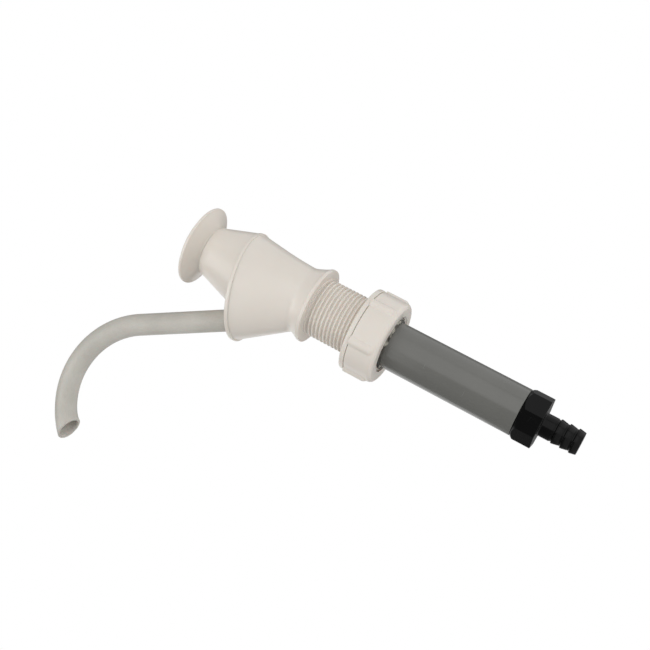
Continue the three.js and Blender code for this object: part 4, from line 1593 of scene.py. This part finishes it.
@dataclass
class Plunger:
    """Knob, rod and piston, which slide together."""

    knob_radius: float = 23.1
    knob_foot: float = 13.0
    knob_edge: float = 1.5
    flare_height: float = 5.7
    dome_pull: float = 0.52
    rod_radius: float = 3.5
    stud_radius: float = 2.5
    socket_depth: float = 9.0
    groove_depth: float = 1.6
    nut_chamfer: float = 0.35
    gap: float = 0.3
    ports: PortRing = PortRing(6, 6.2, 1.4)

    def build_knob(self) -> None:
        """Mushroom knob with a shallow dome and a hollow-flared underside."""
        low, high = height_of("plunger_knob")
        edge = self.knob_radius
        rim = low + self.flare_height
        top = rim + self.knob_edge
        hole = self.rod_radius + self.gap
        socket_top = low + self.socket_depth + self.gap
        flare = arc(
            (self.knob_foot + 0.1, low + 0.9), (self.knob_foot + 3.0, rim - 2.4), (edge - 0.7, rim), 18)
        dome = arc((edge - 1.4, top + 0.55), (self.dome_pull * edge, high), (0.0, high), 22)
        piece = turned("plunger_knob_moulding", [
            (hole, low, 0.2), (self.knob_foot, low, 0.5),
            *flare, (edge, rim + 0.05, 0.45), (edge, top, 0.75), *dome,
            (0.0, socket_top, 0.0), (hole, socket_top, 0.3),
        ], 128, 5)
        fitted(piece, "plunger", "plunger_knob", IVORY, 45.0)

    def build_rod(self) -> None:
        """Rod, stepped down to the stud that carries the piston."""
        low, high = height_of("plunger_rod")
        shoulder = height_of("piston_body")[1] + 0.2
        piece = turned("plunger_rod_bar", [
            (0.0, low, 0.0), (self.stud_radius, low, 0.3), (self.stud_radius, shoulder, 0.1),
            (self.rod_radius, shoulder, 0.3), (self.rod_radius, high, 0.4), (0.0, high, 0.0),
        ], 64)
        fitted(piece, "plunger", "plunger_rod", STEEL)

    def build_piston(self) -> None:
        """Piston with its ports, seal, washer, nut, stop clip and valve."""
        low, high = height_of("piston_body")
        outer = radius_of("piston_body")
        seal_low, seal_high = height_of("piston_seal_ring")
        groove_low, groove_high = seal_low - self.gap, seal_high + self.gap
        bore, clear = self.stud_radius + self.gap, self.rod_radius + self.gap
        groove = outer - self.groove_depth
        piece = turned("piston_moulding", [
            (bore, low, 0.2), (outer, low, 0.4),
            (outer, groove_low, 0.1), (groove, groove_low, 0.1),
            (groove, groove_high, 0.1), (outer, groove_high, 0.1),
            (outer, high, 0.4), (bore, high, 0.2),
        ])
        self.ports.cut(piece, low - 1.0, high + 1.0, NYLON)
        fitted(piece, "plunger", "piston_body", NYLON)
        build_ring("piston_seal_ring", "plunger", groove + self.gap, 0.75, RUBBER)
        build_ring("piston_washer", "plunger", bore, 0.15, STEEL)
        build_ring("valve_stop_clip", "plunger", clear, 0.25, STEEL)
        build_ring("piston_valve_disc", "piston_valve", clear, 0.3, RUBBER)
        self.build_lock_nut(bore)

    def build_lock_nut(self, bore: float) -> None:
        """Hexagon nut on the rod's stud.

        Args:
            bore: Radius of its hole.
        """
        low, high = height_of("piston_lock_nut")
        corner = radius_of("piston_lock_nut")
        angles = even_angles(96)
        hexagon = flat_sided(angles, 6, corner, 0.0, 0.25)
        rows: Rows = []
        below, above = low + self.nut_chamfer, high - self.nut_chamfer
        for shrink, z in (
                (0.75, low), (0.2, low), (0.0, below), (0.0, above), (0.2, high), (0.75, high)):
            rows.append(loop_at(hexagon - shrink, z, angles))
        rows += spun([(bore, high), (bore, low)], angles)
        piece = mesh_from_rows("piston_lock_nut_hex", rows, closed=True)
        fitted(piece, "plunger", "piston_lock_nut", STEEL, 25.0)


def flat_sided(angles: np.ndarray, sides: int, corner: float, turn: float, fillet: float) -> np.ndarray:
    """Distance to a flat-sided outline at each angle.

    Args:
        angles: Angles in radians.
        sides: Number of flats.
        corner: Radius over the corners, before they are rounded.
        turn: Angle of the first corner, in radians.
        fillet: Rounding of the corners.

    Returns:
        The distances.
    """
    step = 2 * math.pi / sides
    from_corner = (angles - turn + step / 2) % step - step / 2
    flat = corner * math.cos(step / 2) / np.cos(step / 2 - np.abs(from_corner))
    middle = corner - fillet / math.cos(step / 2)
    side = middle * np.sin(from_corner)
    rounded_corner = middle * np.cos(from_corner) + np.sqrt(np.maximum(fillet**2 - side**2, 0.0))
    tangent = math.atan2(fillet * math.sin(step / 2), middle + fillet * math.cos(step / 2))
    return np.where(np.abs(from_corner) < tangent, rounded_corner, flat)


def build_ring(node: str, body: str, inner: float, fillet: float, finish: Finish) -> None:
    """Plain ring that stands where a CAD node stands.

    Args:
        node: The CAD node.
        body: The body that it moves with.
        inner: Radius of its hole.
        fillet: Rounding of its edges.
        finish: Its finish.
    """
    low, high = height_of(node)
    outer = radius_of(node)
    corners = [(inner, low, fillet), (outer, low, fillet), (outer, high, fillet), (inner, high, fillet)]
    fitted(turned(f"{node}_part", corners, 96, 6), body, node, finish)


# ------------------------------------------------------------------ gland


@dataclass
class Gland:
    """Stack that guides and seals the rod in the cover's cone, and the spout's seal."""

    rod_radius: float = 3.5
    gap: float = 0.3
    lip_slope: float = 0.6
    spout_seal_height: float = 1.6

    def build(self) -> None:
        """Makes the bush, the washer and the rod's seal."""
        inner = self.rod_radius + self.gap
        build_ring("gland_bush", "housing", inner, 0.4, NYLON)
        build_ring("gland_washer", "housing", inner + self.gap, 0.15, STEEL)
        low, high = height_of("rod_seal")
        outer, face = radius_of("rod_seal"), inner + self.lip_slope
        piece = turned("rod_seal_ring", [
            (face, low, 0.2), (outer, low, 0.3), (outer, high, 0.3), (face, high, 0.2),
            (inner, 0.5 * (low + high), 0.3),
        ])
        fitted(piece, "housing", "rod_seal", RUBBER)

    def build_spout_seal(self, spout: Spout, head: Head) -> None:
        """Ring in the mouth of the spout's socket.

        Args:
            spout: The spout.
            head: The head that it stands on.
        """
        inner, outer = spout.radius + spout.clearance, spout.radius + spout.seal_width
        low, high = spout.socket_height - self.spout_seal_height, spout.socket_height
        piece = turned("spout_seal", [
            (inner, low, 0.2), (outer, low, 0.2), (outer, high, 0.35), (inner, high, 0.25)])
        fitted(spout.seated(piece, head), "housing", "spout_seal_ring", RUBBER)


# ------------------------------------------------------------------ cylinder and inlet


@dataclass
class LowerEnd:
    """Cylinder, its cement bead, the inlet fitting and the foot valve."""

    wall: float = 2.87
    cap_sides: int = 8
    cap_corner: float = 14.65
    cap_turn: float = 9.5
    cap_fillet: float = 0.45
    cap_height: float = 12.2
    cap_ledge: float = 6.1
    chamfer: float = 2.1
    spigot_bore: float = 7.4
    tail_root: float = 6.2
    tail_land: float = 6.6
    tail_bore: float = 4.2
    barbs: int = 3
    barb_height: float = 0.75
    bead_width: float = 1.45
    ring_width: float = 0.9
    guide_radius: float = 1.6
    disc_thickness: float = 1.2
    cage_wall: float = 1.5
    gap: float = 0.3
    seat_ports: PortRing = PortRing(6, 5.0, 1.4)
    cage_windows: PortRing = PortRing(4, 5.95, 2.4)
    lumps: CementLumps = CementLumps()

    def build_cylinder(self) -> None:
        """Length of pipe, with softened ends."""
        low, high = height_of("pump_cylinder")
        outer = radius_of("pump_cylinder")
        bore = outer - self.wall
        piece = turned("pump_cylinder_pipe", [
            (bore, low, 0.25), (outer, low, 0.35), (outer, high, 0.35), (bore, high, 0.25)], 160, 5)
        fitted(piece, "housing", "pump_cylinder", PIPE_GREY)

    def build_bead(self) -> None:
        """Uneven bead of cement round the cylinder at the stem's mouth, near-black as painted shade for
        the gap in the nut's mouth, with lumps in the cement's own lighter colour.
        """
        low, high = height_of("cement_bead")
        inner = radius_of("pump_cylinder") - 0.02
        outer = inner + self.bead_width
        piece = turned("cement_bead_run", [
            (inner, low + 0.1, 0.1), (inner, high, 0.1),
            (outer, high, 0.2), (outer, low + 0.7, 0.4)], 240, 6)
        self.lumps.spread(piece, CEMENT_AND_PAINTED_SHADE)
        fitted(piece, "housing", "cement_bead", CEMENT_AND_PAINTED_SHADE, 70.0)

    def columns(self) -> np.ndarray:
        """Angles of the fitting's columns, closer together at the cap's corners.

        Returns:
            The angles, in radians, in rising order.
        """
        flat = 360.0 / self.cap_sides
        corner, side = [0.0, 0.25, 0.5, 0.75, 1.3], [3.5, 7, 11, 15, 19, 22.5, 26, 30, 34, 38, 41.5]
        offsets = np.radians([
            *(-a for a in reversed(corner[1:4])), *corner, *side, flat - corner[-1]])
        turns = np.radians(self.cap_turn + flat * np.arange(self.cap_sides))
        return (turns[:, None] + offsets[None]).ravel()

    def tail_outline(self, face_z: float, end_z: float) -> list[Point]:
        """Outline of the hose tail from the cap's face down, its sharp edges towards the cap.

        Args:
            face_z: Height of the cap's face.
            end_z: Height of the tail's end.

        Returns:
            Radius and height of each point.
        """
        root, land = self.tail_root, self.tail_root + 0.3
        crest, first = root + self.barb_height, face_z - self.tail_land
        pitch = (first - end_z) / self.barbs
        corners: list[Corner] = [(land + 1.2, face_z, 0.0), (land, face_z, 0.5), (land, first, 0.15)]
        for i in range(self.barbs):
            edge = first - i * pitch
            corners += [
                (root - 0.05, edge - 0.02, 0.1),
                (root, edge - 0.16 * pitch, 0.1),
                (crest, edge - 0.24 * pitch, 0.07),
                (crest - 0.1, edge - 0.42 * pitch, 0.1),
                (root + 0.1, edge - 0.98 * pitch, 0.1),
            ]
        corners += [
            (root - 0.5, end_z, 0.4), (self.tail_bore, end_z, 0.35), (self.tail_bore, end_z + 4, 0.0)]
        return rounded(corners, 4)[:-1]

    def build_fitting(self) -> None:
        """Octagonal cap with its chamfer, spigot and barbed tail in one moulding."""
        end_z, top_z = height_of("inlet_fitting")
        cylinder = radius_of("pump_cylinder")
        cap_top = height_of("pump_cylinder")[0] - self.gap
        face_z, ledge_z = cap_top - self.cap_height, cap_top - self.cap_ledge
        angles = self.columns()
        octagon = flat_sided(
            angles, self.cap_sides, self.cap_corner, math.radians(self.cap_turn), self.cap_fillet)
        spigot = cylinder - self.wall - self.gap
        rows = spun(rounded([
            (self.tail_bore, end_z + 6, 0.0), (self.tail_bore, ledge_z, 0.3),
            (self.spigot_bore, ledge_z, 0.3), (self.spigot_bore, top_z, 0.3),
            (spigot, top_z, 0.4), (spigot, cap_top, 0.2), (cylinder - 0.4, cap_top, 0.0),
        ], 4), angles)
        brow = cap_top - 0.08
        rows += spun([(cylinder - 0.15, cap_top), (cylinder, brow)], angles)
        slope = (self.cap_corner + 1.0 - cylinder) / (self.chamfer + 1.0)
        cone_end = (octagon - cylinder) / slope
        for share in (0.25, 0.5, 0.75, 0.93, 1.0):
            reach = cylinder + (octagon - cylinder) * share
            rows.append(loop_at(reach, brow - cone_end * share, angles))
        rows.append(loop_at(octagon, brow - cone_end - 0.12, angles))
        for share in (0.3, 0.6, 0.9):
            level = (brow - cone_end - 0.12) * (1 - share) + (face_z + 0.6) * share
            rows.append(loop_at(octagon, level, angles))
        for drawn_in, up in ((0.0, 0.45), (0.06, 0.2), (0.2, 0.06), (0.45, 0.0), (1.6, 0.0)):
            rows.append(loop_at(octagon - drawn_in, face_z + up, angles))
        rows += spun(self.tail_outline(face_z, end_z), angles)
        piece = mesh_from_rows("inlet_fitting_moulding", rows, closed=True)
        fitted(piece, "housing", "inlet_fitting", BLACK, 30.0)

    def build_valve(self) -> None:
        """O-ring, valve seat, valve and cage."""
        spigot, hole = radius_of("foot_valve_seat"), self.guide_radius + self.gap
        build_ring("inlet_o_ring", "housing", spigot - self.ring_width, 0.5, RUBBER)
        low, high = height_of("foot_valve_seat")
        seat = turned("foot_valve_seat_disc", [
            (hole, low, 0.1), (spigot, low, 0.3), (spigot, high, 0.3), (hole, high, 0.1)])
        self.seat_ports.cut(seat, low - 1.0, high + 1.0, NYLON)
        fitted(seat, "housing", "foot_valve_seat", NYLON)
        low, high = height_of("foot_valve_cage")
        inner, roof = spigot - self.cage_wall, high - self.cage_wall
        cage = turned("foot_valve_cage_cup", [
            (inner, low, 0.1), (spigot, low, 0.2), (spigot, high, 0.5),
            (0.0, high, 0.0), (0.0, roof, 0.0), (inner, roof, 0.4)])
        self.cage_windows.cut(cage, roof - 1.0, high + 1.0, NYLON)
        fitted(cage, "housing", "foot_valve_cage", NYLON)
        low, high = height_of("foot_valve_disc")
        disc, face = radius_of("foot_valve_disc"), high - self.disc_thickness
        valve = turned("foot_valve_disc_part", [
            (0.0, low, 0.0), (self.guide_radius, low, 0.4), (self.guide_radius, face, 0.2),
            (disc, face, 0.2), (disc, high, 0.3), (0.0, high, 0.0)])
        fitted(valve, "foot_valve", "foot_valve_disc", RUBBER)


# ------------------------------------------------------------------ ring nut


@dataclass
class Clamp:
    """Ring nut and its washer under the deck.

    The nut's mouth is drawn in below its shoulder. The washer reaches down to the nut by closing.
    """

    nut_radius: float = 23.6
    mouth_radius: float = 22.3
    shoulder: float = 2.4
    thread_radius: float = 16.62
    thread_clearance: float = 0.35
    closing: float = 0.22
    rib_rise: float = 1.9
    row_step: float = 0.165
    columns: int = 360
    ribs: GripRibs = GripRibs()
    thread: PipeThread = PipeThread(run_out=0.2)

    def build_washer(self) -> None:
        """Plain washer with softened edges."""
        low, high = height_of("nut_washer")
        bore, outer = self.thread_radius + self.thread_clearance, radius_of("nut_washer")
        low -= self.closing
        piece = turned("nut_washer_ring", [
            (bore, low, 0.2), (outer, low, 0.45), (outer, high, 0.55), (bore, high, 0.3),
        ], 160, 6)
        fitted(piece, "clamp_washer", "nut_washer", IVORY)

    def build_nut(self) -> None:
        """Nut with its thread and grip ribs."""
        low, high = height_of("ring_nut")
        root = self.thread_radius + self.thread_clearance - self.thread.depth
        shoulder_z, lip_z = low + self.shoulder, low + 0.25
        outside = rounded([
            (root + 2.0, high, 0.0), (self.nut_radius, high, 0.9), (self.nut_radius, shoulder_z, 0.0),
        ], 6)
        side = [(self.nut_radius, z) for z in evenly(high - 1.2, shoulder_z, 0.35)]
        foot = arc(
            (self.nut_radius, shoulder_z), (self.nut_radius, low + 0.9), (self.mouth_radius, lip_z), 9)
        curve = [(r, z) for r, z, _ in foot[1:-1]]
        mouth = rounded([
            (self.mouth_radius, lip_z, 0.0), (self.mouth_radius - 0.6, low, 0.5),
            (root + 0.9, low, 0.3), (root + 0.6, low + 0.3, 0.0),
        ], 5)
        bevel = [(root + low + 0.9 - z, z) for z in evenly(low + 0.4, low + 0.8, self.row_step)]
        bore = [(root, z) for z in evenly(low + 0.9, high - 1.3, self.row_step)]
        top = [(root + z - high + 1.2, z) for z in evenly(high - 1.1, high - 0.2, self.row_step)]
        outline = [*outside[:-1], *side, *curve, *mouth[:-1], *bevel, *bore, *top]
        rows = spun(outline, even_angles(self.columns))
        piece = mesh_from_rows("ring_nut_moulding", rows, closed=True)
        self.thread.cut(piece, low - 1.0, high + 1.0, root, self.thread.depth, IVORY)
        self.ribs.raised(piece, self.nut_radius, low + self.rib_rise, IVORY)
        fitted(piece, "clamp_nut", "ring_nut", IVORY, 50.0)


# ------------------------------------------------------------------ studio


@dataclass(frozen=True)
class Lamp:
    """Square soft light aimed at the middle of the pump; sizes in metres, power in watts."""

    name: str
    place: tuple[float, float, float]
    size: float
    power: float

    def build(self) -> None:
        """Hangs the light in the scene."""
        data = bpy.data.lights.new(self.name, "AREA")
        data.shape = "SQUARE"
        data.size = self.size
        data.energy = self.power
        light = bpy.data.objects.new(self.name, data)
        light.location = self.place
        light.rotation_mode = "QUATERNION"
        light.rotation_quaternion = (PUMP_MIDDLE - Vector(self.place)).to_track_quat("-Z", "Y")
        bpy.context.scene.collection.objects.link(light)


@dataclass
class Studio:
    """Pale floor, soft lights and the camera; sizes in metres."""

    lens: float = 60.4
    sensor: float = 36.0
    place: tuple[float, float, float] = (0.0074, 0.5751, -0.1675)
    look_up: float = 15.498
    roll: float = 62.103
    floor_z: float = -0.80
    floor_half: float = 2.6
    floor_tone: float = 0.92
    floor_glow: float = 0.30
    backdrop: float = 1.0
    fill: float = 0.27
    gleam: float = 0.20
    lamps: tuple[Lamp, ...] = (
        Lamp("key", (-0.38, 1.10, 0.10), 1.5, 5.1),
        Lamp("side", (-1.00, -0.05, 0.15), 1.6, 4.8),
        Lamp("front", (0.60, 0.75, 0.70), 1.0, 6.2),
        Lamp("rear", (0.5, -0.9, 0.5), 1.2, 3.6),
    )

    def build_camera(self) -> None:
        """Camera a little below the deck's level, rolled so that the plunger's axis slopes."""
        data = bpy.data.cameras.new("studio_camera")
        data.lens = self.lens
        data.sensor_width = self.sensor
        data.clip_start, data.clip_end = 0.01, 50.0
        camera = bpy.data.objects.new("studio_camera", data)
        facing = Matrix.Rotation(math.pi, 4, "Z")
        tilted = Matrix.Rotation(math.radians(90.0 + self.look_up), 4, "X")
        rolled = Matrix.Rotation(math.radians(-self.roll), 4, "Z")
        camera.matrix_world = Matrix.Translation(self.place) @ facing @ tilted @ rolled
        bpy.context.scene.collection.objects.link(camera)
        bpy.context.scene.camera = camera

    def build_floor(self) -> None:
        """Wide pale floor below the pump."""
        half = self.floor_half
        mesh = bpy.data.meshes.new("floor")
        corners = [(x * half, y * half, self.floor_z) for x, y in ((-1, -1), (1, -1), (1, 1), (-1, 1))]
        mesh.from_pydata(corners, [], [(0, 1, 2, 3)])
        floor = bpy.data.objects.new("floor", mesh)
        bpy.context.scene.collection.objects.link(floor)
        paint = bpy.data.materials.new("pale floor")
        paint.use_nodes = True
        skin = paint.node_tree.nodes["Principled BSDF"]
        skin.inputs["Base Color"].default_value = (*[self.floor_tone] * 3, 1.0)
        skin.inputs["Roughness"].default_value = 0.9
        skin.inputs["Emission Color"].default_value = WHITE
        skin.inputs["Emission Strength"].default_value = self.floor_glow
        floor.data.materials.append(paint)

    def build_lights(self) -> None:
        """White backdrop with a dimmer even fill, and large soft lights in front, beside and behind."""
        world = bpy.data.worlds.new("surround")
        world.use_nodes = True
        world.node_tree.nodes.clear()
        graph = Graph(world.node_tree)
        path = graph.node("ShaderNodeLightPath")
        seen, mirrored = graph.out(path, "Is Camera Ray"), graph.out(path, "Is Glossy Ray")
        strength = seen * (self.backdrop - self.fill) + mirrored * (self.gleam - self.fill) + self.fill
        sky = graph.node("ShaderNodeBackground", None, {"Color": WHITE, "Strength": strength})
        graph.node("ShaderNodeOutputWorld", None, {"Surface": sky.outputs["Background"]})
        bpy.context.scene.world = world
        bpy.context.scene.view_settings.view_transform = "Standard"
        for lamp in self.lamps:
            lamp.build()


def main() -> None:
    """Builds the studio and every piece of the pump."""
    logging.basicConfig(level=logging.INFO, format="%(name)s %(message)s")
    studio = Studio()
    studio.build_camera()
    studio.build_floor()
    studio.build_lights()
    head, spout, plunger = Head(), Spout(), Plunger()
    head.build_body()
    head.build_cover(spout, plunger.rod_radius + 2 * plunger.gap)
    spout.build(head)
    gland = Gland()
    gland.build()
    gland.build_spout_seal(spout, head)
    plunger.build_knob()
    plunger.build_rod()
    plunger.build_piston()
    lower = LowerEnd()
    lower.build_cylinder()
    lower.build_bead()
    lower.build_fitting()
    lower.build_valve()
    clamp = Clamp()
    clamp.build_washer()
    clamp.build_nut()


if __name__ == "__main__":
    main()
